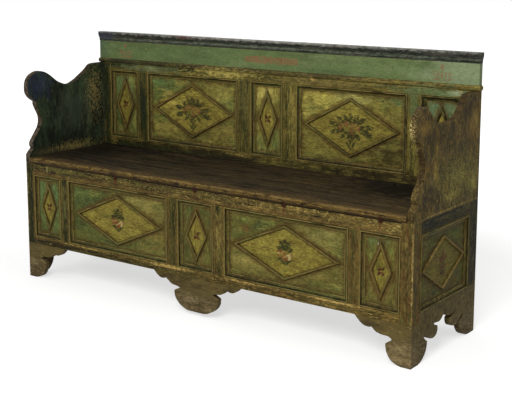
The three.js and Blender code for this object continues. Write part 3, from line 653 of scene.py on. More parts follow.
    def unpainted(self, part):
        """1 on the faces that were never painted: the rear, the inner faces of the sides, and
        the back's own where it closes the chest."""
        add = self.add
        rear = add("MapRange", self.looks("Y"), 0.5, 0.6)
        if part in ("side", "frame", "side_frame"):
            return add("MAXIMUM", rear, self.looks_inward())
        if part == "back_frame":
            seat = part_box("seat_lid")[0].z
            in_chest = add("MapRange", self.at("Z"), seat, seat - MM)
            lengthwise = add("MapRange", add("ABSOLUTE", self.looks("X")), 0.6, 0.5)
            inner = add("MAXIMUM", self.looks_inward(), lengthwise)
            return add("MAXIMUM", rear, add("MULTIPLY", in_chest, inner))
        return rear

    def beside_openings(self, openings, axis):
        """How far a place on a frame's face is from the nearest panel opening, in metres."""
        add = self.add

        def away(node):
            """From one opening: the larger of the ways past its sides, along and up."""
            sides = []
            for low, high, way in zip(*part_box(node), "XYZ"):
                if way in (axis, "Z"):
                    off = add("ABSOLUTE", add("SUBTRACT", self.at(way), (low + high) / 2))
                    sides.append(add("SUBTRACT", off, (high - low) / 2 - TONGUE))
            return add("MAXIMUM", *sides)
        return reduce(partial(add, "MINIMUM"), map(away, openings))

    def bare(self, seed):
        """Planed pine gone brown: pale early wood, darker late wood in long bands, and dust."""
        return self.washed(chosen("pine"), (
            ("#584327", 500, 7, 0.44, 0.56), ("#80653f", 300, 24, 0.5, 0.66),
            ("#4a3820", 160, 3, 0.58, 0.64), ("#3a2d1c", 60, 30, 0.62, 0.74),
        ), seed)

    def close(self, tone, rough, seed, relief=0.5):
        """The shader and its output: a roughness that varies by a sixth, and a relief of brush
        marks and raised grain."""
        gloss = self.noise((60, 12), seed + 17)
        rougher = self.add("MapRange", gloss, 0.3, 0.7, rough * 0.85, rough * 1.15)
        marks = self.noise((60, 3), seed + 23)
        bump = self.add("Bump", {"Strength": relief, "Distance": 1.2 * MM, "Height": marks})
        shader = self.add("BsdfPrincipled", {
            "Base Color": tone, "Roughness": rougher, "Normal": bump, "Specular IOR Level": 0.06})
        self.add("OutputMaterial", shader)


def chosen(key):
    """The colour that the user set for a part."""
    return tuple(getattr(bpy.context.scene.settle_colours, key))


def material_of(name, grain, fill):
    """The material of that name, made by fill(its layers) the first time."""
    if name not in bpy.data.materials:
        material = made(bpy.data.materials.new(name), use_nodes=True)
        material.node_tree.nodes.clear()
        fill(Layers(material.node_tree, grain))
    return bpy.data.materials[name]


class Coat(NamedTuple):
    """How one part is painted and worn. The base is one of the colours that a user sets."""

    base: str
    washes: tuple
    edge: str
    edge_share: float = 0.8
    # Colour and strength of the painted shade in corners and gaps
    crevice_shade: str = "#17110a"
    crevice_shade_share: float = 0.85
    rough: float = 0.62
    border: str = ""
    spots: tuple = ()
    fleck: str = "#9a8a50"
    fleck_start: float = 0.66


# Old linseed paint brushed thinly on pine: matt, streaked along the grain, rubbed back to the ochre ground
# on every arris and darkened with painted shade in the corners.
COATS = {
    "frame": Coat("frame", (
        ("#222410", 300, 30, 0.42, 0.56, -0.14), ("#524623", 120, 14, 0.5, 0.62, 0.06),
        ("#6a5a2d", 50, 7, 0.57, 0.65, 0.05), ("#17140b", 40, 6, 0.58, 0.66),
        ("#5a3c20", 70, 6, 0.6, 0.66, 0.08),
    ), "#94793f", border="#5a4b25", fleck="#a08d50", fleck_start=0.66, spots=(
        ("#5f5d32", (-680, -234, 320), (18, 60, 110), 0.55, 16, 4),
        ("#84733c", (112, -234, 320), (20, 60, 120), 0.75, 16, 4),
        ("#24280f", (-112, -234, 350), (14, 60, 60), 0.6, 16, 3),
        ("#2b3014", (676, -234, 400), (10, 60, 60), 0.6, 16, 3),
        ("#4d3c20", (872, -234, 300), (26, 30, 170), 0.4, 16, 3),
        ("#9a8550", (899, -233, 330), (6, 6, 180), 0.75, 9, 5),
        ("#8b7a48", (-899, -233, 330), (8, 8, 170), 0.7, 9, 5),
    )),
    "side_frame": Coat("frame", (
        ("#1c1d0f", 200, 24, 0.34, 0.48), ("#433a1e", 60, 9, 0.54, 0.62),
        ("#100e08", 60, 12, 0.5, 0.62), ("#665730", 18, 5, 0.6, 0.66),
    ), "#94793f", edge_share=0.95, border="#2f2914", fleck="#8a7843", fleck_start=0.64),
    "seat_rail": Coat("frame", (
        ("#40331c", 260, 24, 0.42, 0.58, -0.06), ("#65532a", 90, 9, 0.48, 0.6, 0.08),
        ("#20170d", 70, 9, 0.56, 0.65, -0.04), ("#82703c", 14, 6, 0.58, 0.64, 0.05),
        ("#8a8050", 4, 26, 0.62, 0.68, 0.02),
    ), "#8a7440", border="#5a4825", fleck="#b09b52", fleck_start=0.63),
    "bottom_rail": Coat("frame", (
        ("#453a1d", 260, 14, 0.4, 0.54, 0.02), ("#262010", 90, 8, 0.5, 0.6, -0.1),
        ("#66532a", 70, 6, 0.54, 0.62, 0.1), ("#8a743c", 30, 4, 0.61, 0.67, 0.08),
    ), "#96803f", border="#5c4c26", fleck="#b09a58", fleck_start=0.62, spots=(
        ("#9a8348", (-560, -234, 172), (130, 60, 5), 0.8, 11, 4),
        ("#a98f50", (-130, -234, 170), (150, 60, 9), 0.9, 11, 3.2),
        ("#a98f50", (240, -234, 172), (170, 60, 5), 0.9, 11, 3.6),
        ("#ad9253", (610, -234, 173), (190, 60, 5), 0.9, 11, 3),
    )),
    "back_frame": Coat("frame", (
        ("#262b14", 240, 26, 0.4, 0.56, -0.22), ("#564d23", 160, 14, 0.44, 0.6, 0.1),
        ("#746833", 90, 7, 0.54, 0.66, 0.1), ("#1a150b", 60, 6, 0.56, 0.67),
        ("#95853f", 12, 4, 0.63, 0.69, 0.04),
    ), "#97854a", crevice_shade_share=0.5, border="#544921", fleck="#a3924a", fleck_start=0.67, spots=(
        ("#646a45", (-620, 215, 852), (230, 90, 20), 0.85, 24, 3),
        ("#a1924c", (-220, 215, 861), (210, 90, 28), 0.9, 12, 3.6),
        ("#77693a", (260, 215, 853), (260, 90, 22), 0.7, 16, 4),
        ("#5c6b45", (740, 215, 852), (210, 90, 26), 0.85, 30, 2.6),
        ("#485836", (651, 215, 790), (30, 90, 90), 0.75, 24, 2.4),
        ("#8d9678", (812, 215, 852), (34, 90, 12), 0.55, 14, 4),
        ("#7f7137", (128, 215, 720), (30, 90, 150), 0.75, 16, 3.6),
        ("#5f5630", (-110, 215, 740), (30, 90, 110), 0.5, 16, 3),
        ("#20220f", (-118, 215, 650), (20, 90, 70), 0.65, 16, 3),
        ("#23271a", (-865, 215, 740), (34, 90, 130), 0.7, 30, 2.6),
        ("#1f2418", (-651, 215, 710), (28, 90, 140), 0.95, 20, 2.6),
        ("#372e1f", (100, 209, 884), (1000, 30, 6), 0.7, 16, 3),
        ("#423629", (-100, 209, 876), (1100, 24, 10), 0.35, 30, 2),
        ("#332c22", (-700, 209, 876), (260, 24, 10), 0.3, 30, 2),
        # Painted shade low on the back, just over the seat
        ("#211b10", (-300, 215, 520), (700, 90, 26), 0.85, 26, 3.4),
        ("#1b150c", (560, 215, 525), (420, 90, 40), 0.85, 26, 3),
        ("#8a7638", (-825, 215, 560), (26, 90, 50), 0.7, 7, 7),
        ("#8d793c", (-130, 215, 532), (60, 90, 12), 0.7, 7, 7),
        ("#b08f52", (215, 215, 862), (20, 90, 10), 0.9, 9, 3),
    )),
    "cornice": Coat("cornice", (
        ("#3f3d36", 260, 8, 0.48, 0.62), ("#1b1f19", 130, 8, 0.46, 0.58),
        ("#4f352b", 50, 6, 0.61, 0.69),
    ), "#8f8a78", rough=0.5, edge_share=0.3, fleck_start=0.69, spots=(
        # Painted sheen along the top of the cornice, and painted light on the lower round of its profile
        ("#8c8a81", (0, 215, 998), (1300, 40, 10), 0.8, 16, 2.4),
        ("#5e6554", (0, 215, 972), (1300, 40, 7), 0.75, 16, 2.6),
        # Painted blue sheen at the left end
        ("#2c2c40", (-885, 212, 985), (90, 40, 26), 0.6, 30, 2),
        ("#5d3230", (-430, 210, 993), (60, 20, 6), 0.8, 10, 3),
    )),
    "frieze": Coat("frieze", (
        ("#4f5b38", 300, 60, 0.44, 0.62, -0.06), ("#66734a", 260, 70, 0.5, 0.66, 0.06),
        ("#454c30", 9, 70, 0.62, 0.72), ("#726f45", 30, 12, 0.64, 0.72),
    ), "#6b6a45", rough=0.55, spots=(
        # Painted sheen over the right end of the frieze
        ("#7e8a68", (860, 215, 925), (240, 90, 120), 0.7, 60, 2),
        ("#3a4a3a", (-895, 215, 925), (60, 90, 90), 0.6, 20, 2.4),
    )),
    "arm": Coat("arm", (
        ("#332e17", 80, 50, 0.43, 0.55), ("#604c23", 60, 26, 0.49, 0.61),
        ("#20180c", 30, 11, 0.54, 0.62), ("#75622f", 22, 9, 0.58, 0.65),
        ("#8a8040", 9, 5, 0.62, 0.67),
    ), "#8c7745", spots=(
        ("#23210f", (900, 60, 610), (60, 110, 70), 0.8, 11, 5),
        ("#7f6c33", (900, -90, 640), (60, 28, 120), 0.8, 11, 4),
        ("#6b5228", (900, 170, 730), (60, 50, 60), 0.7, 16, 4),
        ("#9a9048", (900, 30, 533), (60, 60, 18), 0.9, 6, 6),
        ("#9a9048", (900, 190, 548), (60, 44, 30), 0.9, 6, 6),
        ("#8f8644", (900, 80, 590), (60, 170, 70), 0.85, 5, 8),
        ("#84703a", (900, 205, 765), (60, 44, 60), 0.8, 14, 3.6),
        ("#3d2c17", (900, 120, 820), (60, 80, 36), 0.75, 20, 3),
        ("#2c200d", (900, -90, 740), (60, 90, 44), 0.6, 20, 3.4),
        ("#8a6f35", (900, -170, 785), (60, 56, 26), 0.85, 12, 3.6),
        ("#94824a", (900, 0, 489), (60, 250, 4), 0.85, 9, 4),
        ("#1f180d", (900, -120, 550), (60, 90, 46), 0.7, 14, 4.4),
    )),
    "foot": Coat("foot", (
        ("#4f4329", 120, 40, 0.42, 0.62), ("#74664a", 70, 14, 0.5, 0.68),
        ("#352a18", 40, 5, 0.56, 0.68), ("#8a7d5c", 11, 5, 0.64, 0.7),
    ), "#8c7b52", spots=(
        ("#86754f", (850, -234, 60), (80, 60, 80), 0.6, 30, 2.6),
    )),
    "moulding": Coat("moulding", (
        ("#322d15", 160, 9, 0.42, 0.56, -0.06), ("#5c4e25", 90, 6, 0.5, 0.6, 0.06),
        ("#3c4420", 70, 8, 0.54, 0.64, -0.08), ("#221a0d", 26, 5, 0.59, 0.67),
    ), "#8f7e49", edge_share=0.55, crevice_shade="#140e08"),
    "strip": Coat("moulding", (
        ("#52411f", 120, 9, 0.4, 0.54, 0.05), ("#33260f", 60, 6, 0.52, 0.62),
        ("#66562a", 40, 6, 0.56, 0.64, 0.05),
    ), "#80703c", edge_share=0.5, crevice_shade="#2b200e"),
}

FIELD_WASHES = (
    ("#5c5829", 200, 120, 0.42, 0.6, 0.12), ("#3d4423", 130, 60, 0.5, 0.66, -0.04),
    ("#5e4c25", 110, 50, 0.56, 0.7, 0.06), ("#6a6e35", 60, 18, 0.57, 0.68, 0.04),
    ("#8a8248", 9, 4, 0.64, 0.7), ("#2b2612", 9, 5, 0.62, 0.69),
)
BACK_FIELD_WASHES = (
    ("#6b632d", 200, 110, 0.4, 0.56, 0.1), ("#483c1a", 60, 34, 0.54, 0.68, 0.02),
    ("#7d743a", 70, 34, 0.53, 0.66, -0.02), ("#9a8f46", 12, 5, 0.62, 0.69),
    ("#2b2411", 11, 6, 0.6, 0.68),
)
LOZENGE_WASHES = (
    ("#817633", 100, 60, 0.44, 0.6), ("#5d4a20", 46, 16, 0.53, 0.67),
    ("#5f5a28", 80, 34, 0.56, 0.68), ("#958a48", 16, 5, 0.61, 0.69),
    ("#43351a", 60, 2, 0.55, 0.7), ("#4a3a18", 3, 20, 0.6, 0.7),
)
# Where the fields of the panels are greener, or browner and lighter
FIELD_SPOTS = (
    ("#4f6437", (-600, -228, 400), (110, 60, 60), 0.5, 30, 2.4),
    ("#586e42", (770, -228, 420), (60, 60, 40), 0.6, 20, 2.4),
    ("#6c6030", (-230, -228, 300), (170, 60, 150), 0.85, 40, 2.6),
    ("#6a5f30", (420, -228, 270), (290, 60, 120), 0.85, 40, 2.8),
    ("#7d7540", (560, -228, 400), (120, 60, 50), 0.7, 30, 3),
    ("#5f542c", (0, -228, 290), (90, 60, 150), 0.7, 30, 3),
    ("#7e743c", (-260, -228, 405), (140, 60, 60), 0.8, 30, 2.8),
    ("#7d713a", (230, -228, 255), (120, 60, 60), 0.8, 30, 2.8),
    ("#5f7a48", (-778, -228, 335), (90, 60, 140), 0.85, 30, 2.4),
    ("#5f522a", (775, -228, 250), (90, 60, 90), 0.8, 30, 2.4),
)
BACK_FIELD_SPOTS = (
    ("#a99c50", (-20, 225, 800), (80, 60, 90), 0.85, 30, 2.4),
    ("#7d7a3c", (0, 225, 660), (90, 60, 140), 0.8, 30, 2.6),
    ("#4c5a2e", (50, 225, 600), (50, 60, 90), 0.6, 20, 3),
    ("#8f8642", (-240, 225, 770), (90, 60, 60), 0.7, 30, 2.8),
    ("#a89a4a", (270, 225, 790), (200, 60, 90), 0.7, 30, 3),
    ("#546848", (758, 225, 800), (100, 60, 110), 0.9, 24, 2.4),
    ("#4f6741", (-770, 225, 760), (90, 60, 120), 0.6, 30, 2.4),
    ("#2c371f", (-775, 225, 640), (90, 60, 110), 0.6, 20, 3),
    ("#7f8040", (-712, 225, 610), (16, 60, 50), 0.8, 9, 4),
    ("#85793a", (-500, 225, 600), (160, 60, 60), 0.85, 30, 2.6),
    ("#6d6230", (-200, 225, 610), (110, 60, 60), 0.8, 30, 2.6),
    ("#567040", (-570, 225, 800), (110, 60, 40), 0.6, 30, 2.8),
    ("#5e7243", (590, 225, 810), (90, 60, 40), 0.6, 30, 2.8),
    ("#7d7036", (-330, 225, 640), (150, 60, 60), 0.7, 24, 3.4),
)
# Marks over panels and lozenges: painted shade at the back's lower right and low over the seat, a painted
# pool of light, nail holes and white scrapes
BACK_MARKS_AND_SHADE = (
    ("#a09044", (-500, 225, 710), (70, 60, 50), 0.7, 20, 3.4),
    # Painted shade at the lower right towards the right arm and low over the seat, then a painted pool of
    # light
    ("#2e2614", (560, 225, 600), (180, 60, 100), 0.8, 30, 3),
    ("#3c2f16", (-400, 225, 585), (220, 60, 26), 0.6, 24, 3.4),
    ("#a3a060", (400, 225, 800), (110, 60, 30), 0.35, 30, 2.6),
    ("#14100a", (520, 225, 800), (5, 60, 5), 0.95, 3),
    ("#14100a", (690, 225, 812), (5, 60, 5), 0.95, 3),
)
FRONT_SPOTS = (
    ("#6b5d2d", (-310, -228, 310), (70, 60, 50), 0.4, 24, 3),
    ("#a39c80", (768, -228, 425), (4, 60, 13), 0.8, 5),
    ("#a39c80", (766, -228, 398), (4, 60, 6), 0.8, 5),
    ("#2a140d", (780, -228, 398), (6, 60, 9), 0.9, 5),
)
# Mouldings paler on the side, in painted shadow behind the right arm, darker at the left of the back,
# brown at the right end of the front, and in painted shade on the lower halves of the back's strips
MOULDING_MARKS_AND_SHADE = (
    ("#8c7743", (900, -7, 308), (60, 150, 130), 0.8, 20, 2.6),
    # Painted shadow of the right arm
    ("#15120b", (745, 225, 700), (220, 60, 240), 0.85, 30, 2.4),
    ("#1d1a10", (-690, 225, 690), (60, 60, 140), 0.6, 20, 3),
    ("#66502c", (775, -236, 300), (110, 60, 160), 0.5, 30, 2.6),
    # Painted shade on the lower halves of the back's strips
    ("#21190d", (-380, 225, 600), (280, 60, 90), 0.55, 20, 3),
    ("#21190d", (380, 225, 600), (280, 60, 90), 0.55, 20, 3),
)

# Of the chest's panels and the back's: their colour, a seed, washes, marks below the posy and above
FIELDS = {
    "front": ("panel", 5.0, FIELD_WASHES, FIELD_SPOTS, FRONT_SPOTS),
    "back": ("back_panel", 11.0, BACK_FIELD_WASHES, BACK_FIELD_SPOTS, BACK_MARKS_AND_SHADE),
}
IRON_WASHES = {
    "nail": (
        ("#3b1c11", 30, 9, 0.36, 0.46), ("#17100c", 9, 5, 0.52, 0.62), ("#5e3019", 5, 3, 0.64, 0.71),
    ),
    "leaf": (
        ("#1b160e", 90, 60, 0.2, 0.3), ("#120e09", 60, 9, 0.5, 0.6), ("#33281a", 6, 4, 0.66, 0.72),
    ),
}
# Leaf, bloom and light touch of a posy, its strength and how far it frays in millimetres
POSY_PAINT = {
    "front": (("#1c2414", "#6c4223", "#a5955f"), 0.9, 10.0),
    "back": (("#1d2216", "#644427", "#8c7239"), 0.85, 12.0),
    "side": (("#2d160f", "#4f2519", "#8a6a3a"), 0.95, 6.0),
    "star": (("#31150f", "#45211a", "#8f6a35"), 1.0, 4.0),
}


def front_marks():
    """Rust round and below each nail, and a scar where one is lost."""
    marks = [("#8d8552", (-777, -234, 466), (5, 60, 19), 0.8, 8)]
    for node in pieces_with("front_nail"):
        low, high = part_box(node)
        x, z = (low.x + high.x) / 2 / MM, (low.z + high.z) / 2 / MM
        marks += [
            ("#4c2a17", (x - 2, -234, z - 14), (8, 60, 34), 0.8, 9, 3),
            ("#1c0f0a", (x, -234, z + 1), (15, 60, 11), 0.95, 7),
        ]
    return marks


def painted(part, grain, extra=None, seed=0.0, openings=(), axis="X", spots=()):
    """Old linseed paint on pine for one part, with the grain along an axis."""
    coat = COATS[part]

    def fill(paint):
        tone = paint.washed(chosen(coat.base), coat.washes, seed)
        if openings:
            away = paint.beside_openings(openings, axis)
            near = paint.ragged(away, paint.noise((50, 8), seed + 31), -40 * MM, -6 * MM, -14 * MM, 0.8)
            tone = paint.add("Mix", near, tone, coat.border)
        tone = paint.worn(tone, coat, seed)
        tone = paint.spotted(tone, (*coat.spots, *spots), seed)
        tone = paint.mottled(tone, seed, 0.4 if part == "frieze" else 1.0)
        if extra:
            tone = extra(paint, tone)
        if part != "arm":
            tone = paint.add("Mix", paint.unpainted(part), tone, paint.bare(seed))
        paint.close(tone, coat.rough, seed)
    side = "" if axis == "X" else "_side"
    return material_of(f"linseed_paint_on_pine_{part}_{grain.lower()}{side}", grain, fill)


def painted_moulding(kind):
    """Brown linseed paint on planed mouldings and strips: painted shade in the quirks and corners, and the
    crests rubbed to a pale broken line. The UV runs along the moulding and across it."""
    coat = COATS[kind]

    def fill(wood):
        add = wood.add
        run = Layers(wood.tree, "X", "UV")
        tone = run.washed(chosen("moulding"), coat.washes, 1.0)
        stained = wood.noise((160, 160, 90), 9.0)
        tone = add("Mix", add("MapRange", stained, 0.42, 0.6, 0.0, 0.5), tone, "#484f26")
        tone = run.mottled(tone, 1.0)
        dirt = add("Attribute", attribute_name="dirt").outputs["Fac"]
        gaps = run.noise((60, 30, 30), 5.0)
        crest = add("MULTIPLY", add("MapRange", dirt, -0.5, -0.9), add("MapRange", gaps, 0.42, 0.54))
        rubbed = add("MULTIPLY", crest, coat.edge_share)
        patchy = add("MapRange", gaps, 0.36, 0.6, 0.35, 0.95)
        # Painted shade in the quirks
        quirk = add("MULTIPLY", add("MapRange", dirt, 0.2, 0.6), patchy)
        tone = run.layered(tone, (rubbed, coat.edge), (quirk, coat.crevice_shade))
        tone = wood.spotted(tone, MOULDING_MARKS_AND_SHADE, 1.0)
        # Painted shade in corners and gaps
        tone = add("Mix", wood.shade_in_crevices(8 * MM, 0.7), tone, coat.crevice_shade)
        run.close(tone, coat.rough, 1.0)
    return material_of(f"linseed_paint_on_planed_{kind}", "", fill)


def bare_pine(grain):
    """Unpainted planed pine for what is behind and inside: dull and dry, with raised grain."""
    def fill(wood):
        # Painted shade in corners and gaps
        tone = wood.layered(wood.bare(2.0), (wood.shade_in_crevices(30 * MM, 0.6), "#21190f"))
        wood.close(tone, 0.75, 2.0, relief=0.6)
    return material_of(f"bare_planed_pine_{grain.lower()}", grain, fill)


def painted_panel(where, grain):
    """Green linseed paint on a panel, with an ochre lozenge and its posy: brushed along the
    grain, finely cracked over the lozenge, brown with handling along the mouldings."""
    base, seed, washes, field_spots, spots = FIELDS["back" if where == "back" else "front"]

    def fill(paint):
        add = paint.add
        green = paint.spotted(paint.washed(chosen(base), washes, seed), field_spots, seed)
        ochre = paint.washed(chosen("lozenge"), LOZENGE_WASHES, seed + 29)
        within, rim = (add("Attribute", attribute_name=n).outputs["Fac"] for n in ("lozenge", "rim"))
        patches = paint.noise((38, 38, 30), seed + 61)
        near_strip = paint.ragged(add("ABSOLUTE", within), patches, -30.0, 0.0, -10.0)
        near_rim = paint.ragged(rim, patches, -40.0, -6.0, -18.0)
        tone = paint.layered(
            green, (add("MapRange", within, -0.5, 0.5), ochre),
            (add("MULTIPLY", near_strip, 0.7), "#4d3a1b"), (add("MULTIPLY", near_rim, 0.75), "#4c3b1d"))
        tone = paint.mottled(paint.spotted(tone, spots, seed), seed, 0.9)
        if where == "side":
            tone = add("Mix", 0.35, tone, "#262312")
        tone = paint.posies(tone, *POSY_PAINT["star" if grain == "Z" and where != "side" else where])
        # Painted shade in corners and gaps, then bare pine where the panel was never painted
        tone = paint.layered(
            tone, (paint.shade_in_crevices(12 * MM, 0.9), "#221809"), (paint.unpainted(where), paint.bare(seed)))
        paint.close(tone, 0.6, seed)
    return material_of(f"linseed_paint_on_{where}_panel_{grain.lower()}", grain, fill)


def red_ornament(paint, tone):
    """Faded red brushwork on the frieze."""
    return paint.posies(tone, ("#7d5434", "#84503a", "#8a6a44"), strength=0.6)


def painted_shadow_under_lid(paint, tone):
    """Painted shadow: the top of the front rail is black where the lid overhangs it."""
    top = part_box("front_top_rail")[1].z
    level = paint.noise((40, 9, 9), 91.0)
    share = paint.ragged(paint.at("Z"), level, 4 * MM, top - 3 * MM, top - MM, 0.95)
    return paint.add("Mix", share, tone, "#0b0805")


def two_sided_arm(paint, tone):
    """The inner faces of the arms are green black, with ochre where backs have rubbed them and a painted
    blue sheen on the top of the scroll. The edges are dark brown, chipped to ochre in front."""
    inner = paint.washed(chosen("arm_inside"), (
        ("#2f3a27", 130, 50, 0.42, 0.58), ("#181c14", 90, 34, 0.5, 0.66), ("#444530", 30, 5, 0.58, 0.7),
    ), 61.0)
    inner = paint.spotted(paint.mottled(inner, 61.0), (
        # Painted blue sheen on the top of the left arm's scroll
        ("#2c3145", (-875, -185, 800), (90, 100, 80), 0.65, 50, 2.4),
        ("#10120e", (-875, -60, 560), (90, 190, 60), 0.6, 40, 2.4),
        ("#8a7a48", (-875, 145, 740), (90, 46, 100), 0.85, 6, 8),
        ("#6a5b34", (-875, 222, 560), (90, 24, 60), 0.85, 6, 6),
        ("#3e4638", (-875, 20, 680), (90, 130, 120), 0.5, 40, 2.6),
        ("#756639", (-875, 20, 522), (90, 150, 24), 0.9, 6, 6),
        ("#4c432a", (-875, -160, 520), (90, 60, 18), 0.7, 6, 6),
    ), 67.0)
    rim = Layers(paint.tree, "X").washed("#2c2212", (
        ("#42351c", 40, 14, 0.46, 0.6, 0.04), ("#191209", 30, 10, 0.52, 0.64, -0.05),
    ), 73.0)
    rim = Layers(paint.tree).spotted(rim, (
        ("#c2ae70", (872, -236, 758), (22, 44, 72), 0.95, 7, 6.4),
        ("#6f5f33", (880, -225, 610), (40, 50, 130), 0.75, 9, 7),
        ("#6d6156", (-890, -240, 660), (30, 90, 220), 0.7, 20, 3),
    ), 75.0)
    on_edge = paint.add("MapRange", paint.add("ABSOLUTE", paint.looks("X")), 0.75, 0.45)
    return paint.layered(tone, (paint.looks_inward(), inner), (on_edge, rim))


def foot_dust(paint, tone):
    """Above the scuffed feet the brackets keep the chest's olive brown."""
    level = paint.noise((60, 60, 40), 77.0)
    above = paint.ragged(paint.at("Z"), level, -90 * MM, 20 * MM, 60 * MM, 0.85)
    kept = Layers(paint.tree, "X").washed("#584c29", (
        ("#3d341c", 70, 24, 0.46, 0.6), ("#726336", 30, 12, 0.56, 0.66),
    ), 79.0)
    return paint.add("Mix", above, tone, kept)


def seat_wood():
    """Pine under old brown paint and years of sitting: near black and a little polished, brown
    along the front, and rubbed to ochre on the nose. Bare pine below."""
    def fill(paint):
        add, plain = paint.add, Layers(paint.tree)
        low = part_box("seat_lid")[0]
        front, under = low.y / MM, low.z / MM
        tone = paint.washed(chosen("seat"), (
            ("#30271a", 420, 30, 0.44, 0.56, 0.04), ("#110f0b", 300, 14, 0.5, 0.58, -0.06),
            ("#4a3b22", 150, 7, 0.55, 0.64, 0.03), ("#0c0a07", 200, 3, 0.57, 0.63),
            ("#6b5833", 26, 4, 0.64, 0.7),
        ), 3.0)
        uneven = paint.noise((110, 30, 30), 83.0)
        browner = paint.ragged(paint.at("Y"), uneven, -150 * MM, low.y, low.y - 60 * MM, 0.8)
        # Brown along the front, then painted shadow of the right arm over the seat's right end and a
        # darker patch at its left end
        tone = plain.spotted(paint.mottled(add("Mix", browner, tone, "#45361f"), 3.0), (
            ("#0b0a08", (700, 110, 507), (330, 230, 60), 0.9, 60, 2),
            ("#0e0c09", (-760, 60, 507), (240, 260, 60), 0.75, 60, 2),
        ), 85.0)
        nose = paint.washed("#49391a", (
            ("#5b4927", 120, 7, 0.46, 0.58, 0.03), ("#251a0d", 40, 8, 0.51, 0.59),
            ("#937839", 20, 5, 0.6, 0.65),
        ), 9.0)
        nose = paint.spotted(nose, (("#87703e", (0, front, under + 18), (1300, 12, 5), 0.4, 14, 4),), 95.0)
        # Painted shade on the lower part of the nose, over the front rail
        level = paint.noise((40, 9, 9), 87.0)
        lower = paint.ragged(paint.at("Z"), level, 8 * MM, low.z + 12 * MM, low.z + 7 * MM, 0.9)
        forward = paint.ragged(paint.at("Y"), uneven, -26 * MM, low.y - 3 * MM, low.y - 8 * MM)
        tone = paint.layered(tone, (forward, add("Mix", lower, nose, "#21180d")))
        tone = plain.spotted(tone, [
            ("#26100a", (x, front, under + 3), (12, 30, 9), 0.85, 6) for x in (-396, 0, 396, 778)
        ], 89.0)
        # Painted shade in corners and gaps, then bare pine on the underside
        below = add("MapRange", paint.looks("Z"), -0.5, -0.6)
        tone = paint.layered(tone, (paint.shade_in_crevices(20 * MM, 0.85), "#0c0906"), (below, paint.bare(4.0)))
        paint.close(tone, 0.5, 3.0, relief=0.6)
    return material_of("polished_old_paint_on_seat_pine", "X", fill)


def forged_iron(kind):
    """Wrought iron, rough all over: nail heads black with red rust, and hinge leaves under the
    seat's dark paint."""
    def fill(iron):
        tone = iron.washed(chosen("iron"), IRON_WASHES[kind], 8.0)
        iron.close(tone, 0.8, 8.0, relief=0.8)
    return material_of(f"forged_iron_{kind}", "X", fill)


# Pieces


def pieces_with(words):
    """Names of the frame's nodes that have these words, in order."""
    return [node for node in sorted(frame["nodes"]) if words in node]


def dress(node, finish, rounding):
    """A frame node keeps its shape and gets a finish, and its edges are planed round."""
    piece = frame["nodes"][node]
    for place in piece.material_slots:
        place.material = finish
    made(piece.modifiers.new("Weld", "WELD"), merge_threshold=WELD)
    made(
        piece.modifiers.new("Arris", "BEVEL"), width=rounding, segments=2, limit_method="ANGLE",
        angle_limit=math.radians(50), use_clamp_overlap=False, harden_normals=True)


def panel_face(node, sizes):
    """The plane of the frame's face round a panel, and half the width and height of its
    opening: the node's box is the board with its tongues, and the bead stands out in front."""
    low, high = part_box(node)
    middle = (low + high) / 2
    if "side" in node:
        way = math.copysign(1, middle.x)
        reach = max(abs(low.x), abs(high.x)) - sizes.moulding_proud
        face = plane((way * reach, middle.y, middle.z), (0, way, 0), (0, 0, 1), (way, 0, 0))
        width = high.y - low.y
    else:
        face = plane((middle.x, low.y + sizes.moulding_proud, middle.z), *FRONT)
        width = high.x - low.x
    return face, width / 2 - TONGUE, (high.z - low.z) / 2 - TONGUE


def moulding_profile(sizes):
    """A half-round bead along the frame, a quirk, then an ogee, half a cosine wave, down to the toe. The
    third value is 1 in the quirks, where shade is painted, and below 0 on the crests that hands rub."""
    bead = sizes.moulding_bead
    turn = np.linspace(0, np.pi, 9)
    share = np.linspace(0, 1, 11)
    toe = sizes.moulding_toe - SETBACK
    high = sizes.moulding_proud - 1.5 * bead
    return np.concatenate([
        [[0, -SETBACK - EMBED, 1]],
        np.stack([
            bead * (1 - np.cos(turn)), sizes.moulding_proud - bead + bead * np.sin(turn),
            1 - 2 * np.sin(turn)], -1),
        [[2 * bead, -1.5 * bead, 1]],
        np.stack([
            2 * bead + share * (sizes.moulding_width - 2 * bead),
            toe + (1 + np.cos(np.pi * share)) / 2 * (high - toe),
            np.interp(share, [0, 0.25, 0.4, 0.7, 0.85, 1], [1, 1, 0, 0, -1, -1])], -1),
        [[sizes.moulding_width, -SETBACK - EMBED, 1]]])


def strip_profile(sizes):
    """A half-round strip that stands on the panel, rubbed along its crest, with painted shade at its feet.
    """
    turn = np.linspace(0, np.pi, 11)
    arch = np.stack([
        sizes.strip_width * (1 - np.cos(turn)) / 2,
        -SETBACK + sizes.moulding_toe / 2 + sizes.strip_height * np.sin(turn),
        1 - 1.9 * np.sin(turn)], -1)
    foot = -SETBACK - EMBED
    return np.concatenate([[[0, foot, 1]], arch, [[sizes.strip_width, foot, 1]]])


